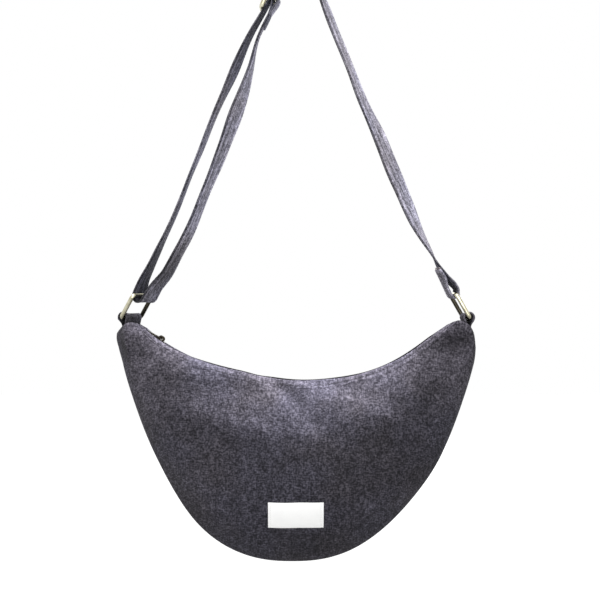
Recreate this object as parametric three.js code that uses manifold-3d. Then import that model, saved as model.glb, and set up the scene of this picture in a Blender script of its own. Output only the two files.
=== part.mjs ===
// Crescent shoulder bag with a curved zip, two rectangular rings and an adjustable flat strap.
// Millimetres, +Z up, the front faces -Y. The origin is the underside of the strap where a hook holds it.

import * as THREE from 'three';
import { mergeVertices } from 'three/addons/utils/BufferGeometryUtils.js';
import Module from 'manifold-3d';

// Strap
const STRAP_WIDTH = 24;
const STRAP_THICKNESS = 1.8;
const STRAP_DROP = 332.5;        // hook to the axis of the rings' lower bars
const HOOK_RADIUS = 9;           // bend of the strap's underside over the hook
const STRAP_TAIL = 28;           // sewn end above a ring's bar
const RIGHT_FOLD_OPENING = 4.2;  // half the width of the open fold above the right ring's bar
const LEFT_FOLD_OPENING = 7.5;   // the same between the two runs above the left ring
const FOLD_HEIGHT = 9;           // where the open fold is widest
const RIGHT_RUN_TWIST = 34;      // degrees, near the middle of the right run
const RIGHT_RUN_BOW = 2.8;
const INNER_RUN_BOW = 11;
const SOFT_END_LENGTH = 90;      // length of strap that flexes above each ring

// Rings
const RING_WIRE = 3.2;
const RING_HEIGHT = 24.2;        // between the axes of the two bars
const RING_SIDE_CLEARANCE = 1.5; // strap edge to the ring's side bar
const RING_LEAN = 30;            // degrees from upright, towards the middle
const LEFT_RING_TURN = 28;       // degrees about the vertical
const RIGHT_RING_TURN = -4;
const LEFT_RING_INSET = 12;      // ring bar to the side of the bag
const RIGHT_RING_INSET = 8;

// Bag outline
const BAG_WIDTH = 328.4;
const BAG_BELLY_HEIGHT = 195.5;  // widest level to the bottom seam
const EAR_HEIGHT = 18.3;         // widest level to the ear's outer end
const EAR_WIDTH = 24.35;         // end of the mouth to the side of the bag
const EAR_TAPER = 0.7;
const EAR_STEP = 3.5;            // mouth end above the ear's outer end
const EAR_DOME = 5;
const EAR_CLEARANCE = 4.7;       // mouth end below the underside of the rings' lower bars
const MOUTH_DEPTH = 51.6;        // ends of the mouth to its lowest point
const SEAM_POWER_WIDTH = 2.4;
const SEAM_POWER_HEIGHT = 1.3;

// Bag depth
const PANEL_WALL = 1.6;
const FRONT_BELLY_DEPTH = 24;
const BACK_BELLY_DEPTH = 22;
const BACK_FLAT_DEPTH = 22;      // depth of the back's flat area
const EAR_ROUNDING_HEIGHT = 4;
const BOTTOM_ROUNDING_HEIGHT = 40;
const LINING_WALL = 0.7;
const LINING_CLEARANCE = 0.8;
const LINING_DROP = 9;           // lining's top edge below the mouth

// Zip
const ZIP_RECESS = 2.6;          // middle of the coil below the mouth's edge
const TAPE_THICKNESS = 0.8;
const TAPE_END_MARGIN = 3;       // end of the mouth to the end of the tape
const COIL_END_MARGIN = 11;      // end of the tape to the end of the coil
const COIL_WIDTH = 2.1;
const COIL_HEIGHT = 2.2;
const COIL_SLIT = 1.6;
const STOP_LENGTH = 3;
const STOP_HEIGHT = 2.8;
const SLIDER_LENGTH = 10;
const SLIDER_WIDTH = 9;
const SLIDER_PLATE = 1.2;
const SLIDER_POST_LENGTH = 4;
const BRIDGE_LENGTH = 6.6;
const BRIDGE_WIDTH = 1.6;
const BRIDGE_THICKNESS = 1;
const BRIDGE_HEADROOM = 2.2;     // space for the pull's bar under the bridge
const PULL_LENGTH = 14;
const PULL_WIDTH = 6;
const PULL_THICKNESS = 1.2;
const PULL_WINDOW = 4.6;
const PULL_ROUNDING = 2;

// Strap adjuster
const ADJUSTER_PITCH = 14;       // middle bar to each end bar
const ADJUSTER_DROP = 36;        // hook tangent to the middle bar
const ADJUSTER_WRAP = 225;       // degrees of the sewn end round the middle bar

// Label
const LABEL_WIDTH = 50.5;
const LABEL_HEIGHT = 23.5;
const LABEL_THICKNESS = 0.7;
const LABEL_RISE = 36;           // lower edge above the bottom seam

const SEAT_GAP = 0.3;            // between pieces that touch
const LOOP_TAIL = 14;            // anchor loop's ends below the ring bar
const LOOP_NECK = 8.4;           // where the loop's two sides meet below the bar
const LOOP_OVERHANG = 35;        // degrees of the loop below the bar's level on each side

const FABRIC = new THREE.MeshStandardMaterial({ color: 0x4a474f, roughness: 0.95, metalness: 0 });
const STRAP_FABRIC = new THREE.MeshStandardMaterial({ color: 0x55525b, roughness: 0.95, metalness: 0 });
const LINING_FABRIC = new THREE.MeshStandardMaterial({ color: 0x6d6a70, roughness: 0.9, metalness: 0 });
const TAPE_FABRIC = new THREE.MeshStandardMaterial({ color: 0x232227, roughness: 0.9, metalness: 0 });
const COIL_NYLON = new THREE.MeshStandardMaterial({ color: 0x1c1b1f, roughness: 0.5, metalness: 0 });
const PALE_BRASS = new THREE.MeshStandardMaterial({ color: 0xb9b08c, roughness: 0.35, metalness: 1 });
const DARK_BRASS = new THREE.MeshStandardMaterial({ color: 0x4a4233, roughness: 0.4, metalness: 1 });
const LABEL_COTTON = new THREE.MeshStandardMaterial({ color: 0xeeeeec, roughness: 0.9, metalness: 0 });

const wasm = await Module();
wasm.setup();

const bag = new THREE.Group();
const rad = THREE.MathUtils.degToRad;
const UP = new THREE.Vector3(0, 0, 1);

// Turns the faces of a closed mesh outwards.
function facingOut(geometry) {
  const position = geometry.getAttribute('position');
  const index = geometry.getIndex();
  const a = new THREE.Vector3();
  const b = new THREE.Vector3();
  const c = new THREE.Vector3();
  let volume = 0;
  for (let i = 0; i < index.count; i += 3) {
    a.fromBufferAttribute(position, index.getX(i));
    b.fromBufferAttribute(position, index.getX(i + 1));
    c.fromBufferAttribute(position, index.getX(i + 2));
    volume += a.dot(b.cross(c));
  }
  if (volume < 0) {
    for (let i = 0; i < index.count; i += 3) {
      const first = index.getX(i);
      index.setX(i, index.getX(i + 2));
      index.setX(i + 2, first);
    }
  }
  geometry.computeVertexNormals();
  return geometry;
}

// Skins a row of equal sections. Each section lists its points out along one side and back along the
// other, so that an end is capped by a strip between the two sides.
function loft(sections, closed = false) {
  const size = sections[0].length;
  const positions = sections.flat().flatMap((point) => point.toArray());
  const faces = [];
  const spans = closed ? sections.length : sections.length - 1;
  for (let i = 0; i < spans; i += 1) {
    const here = i * size;
    const next = ((i + 1) % sections.length) * size;
    for (let j = 0; j < size; j += 1) {
      const k = (j + 1) % size;
      faces.push(here + j, next + j, next + k);
      faces.push(here + j, next + k, here + k);
    }
  }
  if (!closed) {
    const last = (sections.length - 1) * size;
    for (let j = 0; j < size / 2 - 1; j += 1) {
      const across = size - 1 - j;
      faces.push(j, j + 1, across - 1);
      faces.push(j, across - 1, across);
      faces.push(last + j, last + across - 1, last + j + 1);
      faces.push(last + j, last + across, last + across - 1);
    }
  }
  const geometry = new THREE.BufferGeometry();
  geometry.setAttribute('position', new THREE.Float32BufferAttribute(positions, 3));
  geometry.setIndex(faces);
  return facingOut(geometry);
}

function toManifold(geometry) {
  const bare = geometry.clone();
  bare.deleteAttribute('normal');
  bare.deleteAttribute('uv');
  const merged = mergeVertices(bare, 1e-4);
  return new wasm.Manifold(new wasm.Mesh({
    numProp: 3,
    vertProperties: new Float32Array(merged.getAttribute('position').array),
    triVerts: new Uint32Array(merged.getIndex().array),
  }));
}

function union(geometries) {
  const solid = geometries.map(toManifold).reduce((sum, next) => sum.add(next));
  const mesh = solid.getMesh();
  const geometry = new THREE.BufferGeometry();
  geometry.setAttribute('position', new THREE.Float32BufferAttribute(mesh.vertProperties, 3));
  geometry.setIndex([...mesh.triVerts]);
  geometry.computeVertexNormals();
  return geometry;
}

function place(name, geometry, material, parent = bag) {
  const mesh = new THREE.Mesh(geometry, material);
  mesh.name = name;
  parent.add(mesh);
  return mesh;
}

function block(length, width, height, x, y, z) {
  return new THREE.BoxGeometry(length, width, height).translate(x, y, z);
}

// Levels and half widths that the pieces share.
const HALF_WIDTH = BAG_WIDTH / 2;
const BAR_Z = -STRAP_DROP;
const MOUTH_END_Z = BAR_Z - RING_WIRE / 2 - EAR_CLEARANCE;
const EAR_END_Z = MOUTH_END_Z - EAR_STEP;
const WIDEST_Z = EAR_END_Z - EAR_HEIGHT;
const MOUTH_END_X = HALF_WIDTH - EAR_WIDTH;
const MOUTH_RADIUS = (MOUTH_END_X ** 2 + MOUTH_DEPTH ** 2) / (2 * MOUTH_DEPTH);
const MOUTH_CENTRE_Z = MOUTH_END_Z - MOUTH_DEPTH + MOUTH_RADIUS;
const MOUTH_HALF = STRAP_WIDTH / 2 + SEAT_GAP + PANEL_WALL;
const MOUTH_ANGLE = Math.asin(MOUTH_END_X / MOUTH_RADIUS);
const WRAP_RADIUS = RING_WIRE / 2 + SEAT_GAP + STRAP_THICKNESS / 2;
const LAYER_PITCH = STRAP_THICKNESS + SEAT_GAP;

// Bag panels. Lines run from the seam up to the mouth. Lines 0 to BODY_LINES cover the crescent from the
// middle out to its widest level, and the last EAR_LINES cover an ear.
const BODY_LINES = 14;
const EAR_LINES = 3;
const ROWS = 8;
const ROW_CROWDING = 1.5;
const BODY_MOUTH_SHARE = 0.87;
const BELLY_SKEW = 0.85;
const BELLY_SOFTNESS = 1.5;

function seamToMouth(line) {
  const side = Math.sign(line);
  const body = Math.min(Math.abs(line) / BODY_LINES, 1);
  const ear = Math.max(Math.abs(line) - BODY_LINES, 0) / EAR_LINES;
  const swing = body * Math.PI / 2;
  const seamX = HALF_WIDTH * Math.sin(swing) ** (2 / SEAM_POWER_WIDTH) - EAR_TAPER * ear ** 2;
  const belly = BAG_BELLY_HEIGHT * Math.max(Math.cos(swing), 0) ** (2 / SEAM_POWER_HEIGHT);
  const seam = new THREE.Vector2(side * seamX, WIDEST_Z - belly + EAR_HEIGHT * ear);
  const share = body * BODY_MOUTH_SHARE + ear * (1 - BODY_MOUTH_SHARE);
  const angle = side * MOUTH_ANGLE * share;
  const mouth = new THREE.Vector2(
    MOUTH_RADIUS * Math.sin(angle),
    MOUTH_CENTRE_Z - MOUTH_RADIUS * Math.cos(angle),
  );
  return { seam, mouth, body, ear };
}

// A point of the bag's skin, at a share of the way up a line and an inset from the outer face.
function skinPoint(line, share, inset, side) {
  const { seam, mouth, body, ear } = seamToMouth(line);
  const along = mouth.clone().sub(seam);
  const length = along.length();
  const start = seam.clone().addScaledVector(along, inset / length);
  const flat = start.lerp(mouth, share);
  const rise = THREE.MathUtils.lerp(BOTTOM_ROUNDING_HEIGHT, EAR_ROUNDING_HEIGHT, body ** 2);
  const edge = Math.sqrt(1 - (1 - Math.min(share * length / rise, 1)) ** 2);
  const fullness = Math.max(Math.cos(body * Math.PI / 2), 0);
  const swell = Math.max(Math.sin(Math.PI * share ** BELLY_SKEW), 0) ** BELLY_SOFTNESS * fullness;
  const depth = edge * (MOUTH_HALF - inset) + side.belly * swell;
  const limited = Math.min(depth, side.flat - inset);
  const height = flat.y + EAR_DOME * ear * Math.sin(Math.PI * share);
  return new THREE.Vector3(flat.x, side.sign * (limited + SEAT_GAP / 2), height);
}

const FRONT = { sign: -1, belly: FRONT_BELLY_DEPTH, flat: Infinity };
const BACK = { sign: 1, belly: BACK_BELLY_DEPTH, flat: BACK_FLAT_DEPTH };

// Panel and lining share their rows up to the lining's top edge, and the panel goes on to the mouth.
function shares(line, toMouth) {
  const { seam, mouth } = seamToMouth(line);
  const liningTop = 1 - LINING_DROP / seam.distanceTo(mouth);
  const rows = [];
  for (let row = 0; row <= ROWS; row += 1) rows.push(liningTop * (row / ROWS) ** ROW_CROWDING);
  return toMouth ? [...rows, 1] : rows;
}

function shell(side, lines, toMouth, inset, wall) {
  const sections = [];
  for (let line = -lines; line <= lines; line += 1) {
    const rows = shares(line, toMouth);
    const outer = rows.map((share) => skinPoint(line, share, inset, side));
    const inner = rows.map((share) => skinPoint(line, share, inset + wall, side));
    sections.push([...outer, ...inner.reverse()]);
  }
  return loft(sections);
}

const LINING_INSET = PANEL_WALL + LINING_CLEARANCE;
for (const [name, side] of [['front', FRONT], ['back', BACK]]) {
  place(`${name}_panel`, shell(side, BODY_LINES + EAR_LINES, true, 0, PANEL_WALL), FABRIC);
  place(`${name}_lining`, shell(side, BODY_LINES, false, LINING_INSET, LINING_WALL), LINING_FABRIC);
}

// Label, laid on the front panel.
const SEARCH_STEPS = 40;

// The line and the share of it that pass through a point of the front, seen from the front.
function lineThrough(x, z) {
  let low = -BODY_LINES;
  let high = BODY_LINES;
  let share = 0;
  for (let step = 0; step < SEARCH_STEPS; step += 1) {
    const line = (low + high) / 2;
    const { seam, mouth } = seamToMouth(line);
    share = (z - seam.y) / (mouth.y - seam.y);
    if (seam.x + (mouth.x - seam.x) * share < x) low = line;
    else high = line;
  }
  return { line: low, share };
}

const LABEL_COLUMNS = 10;
const LABEL_ROWS = 4;
const labelBottom = WIDEST_Z - BAG_BELLY_HEIGHT + LABEL_RISE;
const labelSections = [];
for (let column = 0; column <= LABEL_COLUMNS; column += 1) {
  const x = LABEL_WIDTH * (column / LABEL_COLUMNS - 0.5);
  const face = [];
  const back = [];
  for (let row = 0; row <= LABEL_ROWS; row += 1) {
    const z = labelBottom + LABEL_HEIGHT * row / LABEL_ROWS;
    const { line, share } = lineThrough(x, z);
    const y = skinPoint(line, share, 0, FRONT).y;
    back.push(new THREE.Vector3(x, y - SEAT_GAP, z));
    face.unshift(new THREE.Vector3(x, y - SEAT_GAP - LABEL_THICKNESS, z));
  }
  labelSections.push([...back, ...face]);
}
place('label', loft(labelSections), LABEL_COTTON);

// Zip. Its pieces are arcs about the mouth's centre.
const ZIP_RADIUS = MOUTH_RADIUS + ZIP_RECESS;
const TAPE_ANGLE = MOUTH_ANGLE - TAPE_END_MARGIN / ZIP_RADIUS;
const COIL_ANGLE = TAPE_ANGLE - COIL_END_MARGIN / ZIP_RADIUS;
const COIL_INNER = COIL_SLIT / 2;
const COIL_OUTER = COIL_INNER + COIL_WIDTH;
const TAPE_INNER = COIL_OUTER + SEAT_GAP;
const TAPE_OUTER = MOUTH_HALF - PANEL_WALL - SEAT_GAP;
const ARC_STEPS = 28;
const STOP_STEPS = 2;

function arcStrip(nearY, farY, height, from, to, steps = ARC_STEPS) {
  const sections = [];
  for (let step = 0; step <= steps; step += 1) {
    const angle = from + (to - from) * step / steps;
    const corner = (y, lift) => new THREE.Vector3(
      (ZIP_RADIUS - lift) * Math.sin(angle),
      y,
      MOUTH_CENTRE_Z - (ZIP_RADIUS - lift) * Math.cos(angle),
    );
    const top = height / 2;
    sections.push([corner(nearY, top), corner(farY, top), corner(farY, -top), corner(nearY, -top)]);
  }
  return loft(sections);
}

const STOP_ANGLE = STOP_LENGTH / ZIP_RADIUS;
const GAP_ANGLE = SEAT_GAP / ZIP_RADIUS;
for (const [name, sign] of [['front', -1], ['back', 1]]) {
  const tape = arcStrip(sign * TAPE_INNER, sign * TAPE_OUTER, TAPE_THICKNESS, -TAPE_ANGLE, TAPE_ANGLE);
  place(`zip_tape_${name}`, tape, TAPE_FABRIC);
  const coil = arcStrip(sign * COIL_INNER, sign * COIL_OUTER, COIL_HEIGHT, -COIL_ANGLE, COIL_ANGLE);
  place(`zip_coil_${name}`, coil, COIL_NYLON);
  const stopEnd = -COIL_ANGLE - GAP_ANGLE;
  const topStop = arcStrip(
    sign * COIL_INNER,
    sign * COIL_OUTER,
    STOP_HEIGHT,
    stopEnd - STOP_ANGLE,
    stopEnd,
    STOP_STEPS,
  );
  place(`zip_top_stop_${name}`, topStop, DARK_BRASS);
}
const bottomStart = COIL_ANGLE + GAP_ANGLE;
const bottomStop = arcStrip(
  -COIL_OUTER,
  COIL_OUTER,
  STOP_HEIGHT,
  bottomStart,
  bottomStart + STOP_ANGLE,
  STOP_STEPS,
);
place('zip_bottom_stop', bottomStop, DARK_BRASS);

// Zip slider and pull, in a group that turns about the mouth's centre.
const SLIDER_ANGLE = COIL_ANGLE - (SLIDER_LENGTH / 2 + SEAT_GAP) / ZIP_RADIUS;
const PLATE_MIDDLE = COIL_HEIGHT / 2 + SEAT_GAP + SLIDER_PLATE / 2;
const PLATE_TOP = PLATE_MIDDLE + SLIDER_PLATE / 2;
const BRIDGE_TOP = PLATE_TOP + BRIDGE_HEADROOM + BRIDGE_THICKNESS;
const PULL_AXIS = PLATE_TOP + BRIDGE_HEADROOM / 2;
const POST_WIDTH = COIL_SLIT - 2 * SEAT_GAP;

const sliderGroup = new THREE.Group();
sliderGroup.position.z = MOUTH_CENTRE_Z;
sliderGroup.rotation.y = SLIDER_ANGLE;
bag.add(sliderGroup);

const bridgeLegX = (BRIDGE_LENGTH - BRIDGE_THICKNESS) / 2;
const legHeight = BRIDGE_TOP - PLATE_MIDDLE;
const legMiddle = (BRIDGE_TOP + PLATE_MIDDLE) / 2;
const slider = union([
  block(SLIDER_LENGTH, SLIDER_WIDTH, SLIDER_PLATE, 0, 0, PLATE_MIDDLE),
  block(SLIDER_LENGTH, SLIDER_WIDTH, SLIDER_PLATE, 0, 0, -PLATE_MIDDLE),
  block(SLIDER_POST_LENGTH, POST_WIDTH, 2 * PLATE_MIDDLE, 0, 0, 0),
  block(BRIDGE_THICKNESS, BRIDGE_WIDTH, legHeight, -bridgeLegX, 0, legMiddle),
  block(BRIDGE_THICKNESS, BRIDGE_WIDTH, legHeight, bridgeLegX, 0, legMiddle),
  block(BRIDGE_LENGTH, BRIDGE_WIDTH, BRIDGE_THICKNESS, 0, 0, BRIDGE_TOP - BRIDGE_THICKNESS / 2),
]);
place('zip_slider', slider, DARK_BRASS, sliderGroup).position.z = -ZIP_RADIUS;

const PULL_CURVE_STEPS = 6;
const pullBar = PULL_THICKNESS / 2;
const pullShape = new THREE.Shape();
pullShape.moveTo(pullBar, -PULL_WIDTH / 2);
pullShape.lineTo(pullBar, PULL_WIDTH / 2);
pullShape.lineTo(PULL_ROUNDING - PULL_LENGTH, PULL_WIDTH / 2);
pullShape.quadraticCurveTo(-PULL_LENGTH, PULL_WIDTH / 2, -PULL_LENGTH, 0);
pullShape.quadraticCurveTo(-PULL_LENGTH, -PULL_WIDTH / 2, PULL_ROUNDING - PULL_LENGTH, -PULL_WIDTH / 2);
pullShape.closePath();
const windowHalf = BRIDGE_WIDTH / 2 + SEAT_GAP;
const pullWindow = new THREE.Path();
pullWindow.moveTo(-pullBar, -windowHalf);
pullWindow.lineTo(-pullBar - PULL_WINDOW, -windowHalf);
pullWindow.lineTo(-pullBar - PULL_WINDOW, windowHalf);
pullWindow.lineTo(-pullBar, windowHalf);
pullWindow.closePath();
pullShape.holes.push(pullWindow);
const pull = new THREE.ExtrudeGeometry(pullShape, {
  depth: PULL_THICKNESS,
  bevelEnabled: false,
  curveSegments: PULL_CURVE_STEPS,
}).translate(0, 0, -PULL_THICKNESS / 2);
place('zip_pull', pull, DARK_BRASS, sliderGroup).position.z = PULL_AXIS - ZIP_RADIUS;

// Wire rings.
const WIRE_SIDES = 8;
const BEND_STEPS = 3;
const RING_HALF = STRAP_WIDTH / 2 + RING_SIDE_CLEARANCE + RING_WIRE / 2;
const RING_BEND = RING_HALF - STRAP_WIDTH / 2 - SEAT_GAP;

function wireSection(centre, across, upright) {
  const section = [];
  for (let i = 0; i < WIRE_SIDES; i += 1) {
    const angle = 2 * Math.PI * (i + 0.5) / WIRE_SIDES;
    section.push(centre.clone()
      .addScaledVector(across, RING_WIRE / 2 * Math.cos(angle))
      .addScaledVector(upright, RING_WIRE / 2 * Math.sin(angle)));
  }
  return section;
}

// A rectangle of wire in the YZ plane between two heights.
function wireRectangle(bottom, top) {
  const flat = new THREE.Vector3(1, 0, 0);
  const corners = [
    [RING_HALF - RING_BEND, top - RING_BEND],
    [RING_BEND - RING_HALF, top - RING_BEND],
    [RING_BEND - RING_HALF, bottom + RING_BEND],
    [RING_HALF - RING_BEND, bottom + RING_BEND],
  ];
  const sections = [];
  corners.forEach(([y, z], corner) => {
    for (let step = 0; step <= BEND_STEPS; step += 1) {
      const angle = (corner + step / BEND_STEPS) * Math.PI / 2;
      const outward = new THREE.Vector3(0, Math.cos(angle), Math.sin(angle));
      const centre = new THREE.Vector3(0, y, z).addScaledVector(outward, RING_BEND);
      sections.push(wireSection(centre, outward, flat));
    }
  });
  return loft(sections, true);
}

// A ring's seat: its lower bar, the bar's direction, and the direction up to the other bar.
function ringSeat(x, turn, lean) {
  const angle = rad(turn);
  const bar = new THREE.Vector3(Math.sin(angle), Math.cos(angle), 0);
  const slope = Math.tan(rad(lean));
  const up = new THREE.Vector3(slope, -slope * Math.tan(angle), 1).normalize();
  const lower = new THREE.Vector3(x, 0, BAR_Z);
  const upper = lower.clone().addScaledVector(up, RING_HEIGHT);
  return { lower, upper, bar, up, out: up.clone().cross(bar), turn };
}

const LEFT = ringSeat(LEFT_RING_INSET - HALF_WIDTH, LEFT_RING_TURN, RING_LEAN);
const RIGHT = ringSeat(HALF_WIDTH - RIGHT_RING_INSET, RIGHT_RING_TURN, -RING_LEAN);

for (const [name, seat] of [['left_ring', LEFT], ['right_ring', RIGHT]]) {
  const ring = place(name, wireRectangle(0, RING_HEIGHT), PALE_BRASS);
  const basis = new THREE.Matrix4().makeBasis(seat.bar.clone().cross(seat.up), seat.bar, seat.up);
  ring.quaternion.setFromRotationMatrix(basis);
  ring.position.copy(seat.lower);
}

// Flat bands. A route lists points and the turn of the band's width about the vertical.
const SPAN_STEPS = 2;
const WRAP_SPANS = 7;

function routePoint(at, turn) {
  return { at, turn };
}

function band(route) {
  const curve = new THREE.CatmullRomCurve3(route.map((entry) => entry.at));
  const spans = route.length - 1;
  const steps = spans * SPAN_STEPS;
  const sections = [];
  for (let step = 0; step <= steps; step += 1) {
    const centre = curve.getPoint(step / steps);
    const tangent = curve.getTangent(step / steps);
    const span = Math.min(Math.floor(step / SPAN_STEPS), spans - 1);
    const share = step / SPAN_STEPS - span;
    const turn = rad(THREE.MathUtils.lerp(route[span].turn, route[span + 1].turn, share));
    const width = new THREE.Vector3(Math.sin(turn), Math.cos(turn), 0);
    width.addScaledVector(tangent, -width.dot(tangent)).setLength(STRAP_WIDTH / 2);
    const face = width.clone().cross(tangent).setLength(STRAP_THICKNESS / 2);
    const corner = (w, f) => centre.clone().addScaledVector(width, w).addScaledVector(face, f);
    sections.push([corner(-1, 1), corner(1, 1), corner(1, -1), corner(-1, -1)]);
  }
  return loft(sections);
}

// The part of a route that goes round a bar, between two angles in degrees.
function wrap(centre, from, past, turn, start, end) {
  const points = [];
  for (let span = 0; span <= WRAP_SPANS; span += 1) {
    const angle = rad(THREE.MathUtils.lerp(start, end, span / WRAP_SPANS));
    const at = centre.clone()
      .addScaledVector(from, WRAP_RADIUS * Math.cos(angle))
      .addScaledVector(past, WRAP_RADIUS * Math.sin(angle));
    points.push(routePoint(at, turn));
  }
  return points;
}

// Anchor loops: a short band over each ring's lower bar, with both ends down inside the ear.
for (const [name, seat] of [['left_anchor_loop', LEFT], ['right_anchor_loop', RIGHT]]) {
  const across = new THREE.Vector3(seat.bar.y, -seat.bar.x, 0);
  const tail = (side, drop) => routePoint(
    seat.lower.clone().add(new THREE.Vector3(side * LAYER_PITCH / 2, 0, -drop)),
    0,
  );
  const route = [
    tail(1, LOOP_TAIL),
    tail(1, LOOP_NECK),
    ...wrap(seat.lower, across, UP, seat.turn, -LOOP_OVERHANG, 180 + LOOP_OVERHANG),
    tail(-1, LOOP_NECK),
    tail(-1, LOOP_TAIL),
  ];
  place(name, band(route), FABRIC);
}

// Strap runs. Each leaves the hook on a tangent and ends beside the upper bar of its ring.
const HOOK = new THREE.Vector3(0, 0, -HOOK_RADIUS);
const HOOK_BEND = HOOK_RADIUS + STRAP_THICKNESS / 2;

function hookAngle(target, side) {
  const reach = target.clone().sub(HOOK);
  const heading = Math.atan2(reach.z, reach.x);
  const opening = Math.acos(HOOK_BEND / Math.hypot(reach.x, reach.z));
  return heading + side * opening;
}

function onHook(angle) {
  return HOOK.clone().add(new THREE.Vector3(Math.cos(angle), 0, Math.sin(angle)).multiplyScalar(HOOK_BEND));
}

function between(from, to, share) {
  return from.clone().lerp(to, share);
}

const rightFoot = RIGHT.upper.clone().addScaledVector(RIGHT.up, STRAP_TAIL)
  .addScaledVector(RIGHT.out, -LAYER_PITCH / 2);
const leftFoot = LEFT.upper.clone().addScaledVector(LEFT.up, STRAP_TAIL)
  .addScaledVector(LEFT.out, LEFT_FOLD_OPENING);
rightFoot.y = 0;
leftFoot.y = 0;
const rightAngle = hookAngle(rightFoot, 1);
const leftAngle = hookAngle(leftFoot, -1) + 2 * Math.PI;
const rightHead = onHook(rightAngle);
const leftHead = onHook(leftAngle);

// Where the flexing end of each run meets the rigid stretch over the hook.
const rightSplit = SOFT_END_LENGTH / rightFoot.distanceTo(rightHead);
const leftSplit = SOFT_END_LENGTH / leftFoot.distanceTo(leftHead);
const rightGap = SEAT_GAP / rightFoot.distanceTo(rightHead);
const leftGap = SEAT_GAP / leftFoot.distanceTo(leftHead);
const RUN_SPANS = 6;

function rightRun(share) {
  const bow = RIGHT_RUN_BOW * 4 * share * (1 - share);
  const at = between(rightFoot, rightHead, share).add(new THREE.Vector3(-bow, 0, 0));
  return routePoint(at, RIGHT.turn * (1 - share) + RIGHT_RUN_TWIST * Math.sin(Math.PI * share));
}

function leftRun(share) {
  return routePoint(between(leftFoot, leftHead, share), LEFT.turn * Math.max(1 - share / leftSplit, 0));
}

function stretch(run, from, to) {
  const points = [];
  for (let i = 0; i <= RUN_SPANS; i += 1) points.push(run(THREE.MathUtils.lerp(from, to, i / RUN_SPANS)));
  return points;
}

// A point beside a ring's upper bar, on the fold of the strap.
function foldPoint(seat, rise, aside) {
  const at = seat.upper.clone().addScaledVector(seat.up, rise).addScaledVector(seat.out, aside);
  return routePoint(at, seat.turn);
}

const foldRound = (seat) => wrap(seat.upper, seat.out, seat.up.clone().negate(), seat.turn, 0, 180);
const tailMiddle = (FOLD_HEIGHT + STRAP_TAIL) / 2;

place('strap_right_end', band([
  foldPoint(RIGHT, STRAP_TAIL, LAYER_PITCH / 2),
  foldPoint(RIGHT, tailMiddle, LAYER_PITCH / 2 + SEAT_GAP),
  foldPoint(RIGHT, FOLD_HEIGHT, RIGHT_FOLD_OPENING),
  ...foldRound(RIGHT),
  foldPoint(RIGHT, FOLD_HEIGHT, -RIGHT_FOLD_OPENING),
  foldPoint(RIGHT, tailMiddle, -LAYER_PITCH / 2 - SEAT_GAP),
  ...stretch(rightRun, 0, rightSplit - rightGap / 2),
]), STRAP_FABRIC);

const HOOK_SPANS = 8;
const hookPoints = [];
for (let i = 1; i < HOOK_SPANS; i += 1) {
  hookPoints.push(routePoint(onHook(THREE.MathUtils.lerp(rightAngle, leftAngle, i / HOOK_SPANS)), 0));
}
place('strap_shoulder', band([
  ...stretch(rightRun, rightSplit + rightGap / 2, 1),
  ...hookPoints,
  ...stretch(leftRun, 1, leftSplit + leftGap / 2),
]), STRAP_FABRIC);

// Strap adjuster. Its end bars lie outside the straight left run, and its middle bar, wrapped by the
// strap's sewn end, lies inside.
const runDown = leftFoot.clone().sub(leftHead).normalize();
const runInward = new THREE.Vector3(-runDown.z, 0, runDown.x);
const endBarOffset = -STRAP_THICKNESS / 2 - SEAT_GAP - RING_WIRE / 2;
const middleBarOffset = STRAP_THICKNESS / 2 + SEAT_GAP + STRAP_THICKNESS + SEAT_GAP + RING_WIRE / 2;
const adjusterCentre = leftHead.clone().addScaledVector(runDown, ADJUSTER_DROP);

const middleBar = loft([
  [endBarOffset, -RING_HALF, 0, -1],
  [middleBarOffset, -RING_HALF, 1, -1],
  [middleBarOffset, RING_HALF, 1, 1],
  [endBarOffset, RING_HALF, 0, 1],
].map(([x, y, outX, outY]) => wireSection(
  new THREE.Vector3(x, y, 0),
  new THREE.Vector3(outX, outY, 0),
  UP,
)));
const endBars = wireRectangle(-ADJUSTER_PITCH, ADJUSTER_PITCH).translate(endBarOffset, 0, 0);
const adjuster = place('strap_slider', union([endBars, middleBar]), PALE_BRASS);
adjuster.quaternion.setFromRotationMatrix(new THREE.Matrix4().makeBasis(
  runInward,
  new THREE.Vector3(0, 1, 0),
  runDown.clone().negate(),
));
adjuster.position.copy(adjusterCentre);

const barCentre = adjusterCentre.clone().addScaledVector(runInward, middleBarOffset);
function besideBar(drop, aside) {
  const at = barCentre.clone().addScaledVector(runDown, drop).addScaledVector(runInward, aside);
  return routePoint(at, 0);
}

const innerHead = besideBar(STRAP_TAIL, WRAP_RADIUS);
const innerFoot = foldPoint(LEFT, STRAP_TAIL, -LEFT_FOLD_OPENING);
innerFoot.at.y = 0;
function innerRun(share) {
  const bow = INNER_RUN_BOW * 4 * share * (1 - share);
  const at = between(innerFoot.at, innerHead.at, share).add(new THREE.Vector3(bow, 0, 0));
  return routePoint(at, LEFT.turn * (1 - share ** 2));
}

place('strap_left_loop', band([
  ...stretch(leftRun, leftSplit - leftGap / 2, 0),
  foldPoint(LEFT, FOLD_HEIGHT, LEFT_FOLD_OPENING),
  ...foldRound(LEFT),
  foldPoint(LEFT, FOLD_HEIGHT, -LEFT_FOLD_OPENING),
  ...stretch(innerRun, 0, 1),
  besideBar(STRAP_TAIL / 2, WRAP_RADIUS),
  ...wrap(barCentre, runInward, runDown.clone().negate(), 0, 0, ADJUSTER_WRAP),
  besideBar(STRAP_TAIL / 2, WRAP_RADIUS - LAYER_PITCH),
  besideBar(STRAP_TAIL, WRAP_RADIUS - LAYER_PITCH),
]), STRAP_FABRIC);

export default bag;
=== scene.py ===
import math

import bpy
import numpy as np
from mathutils import Matrix, Vector


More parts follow.
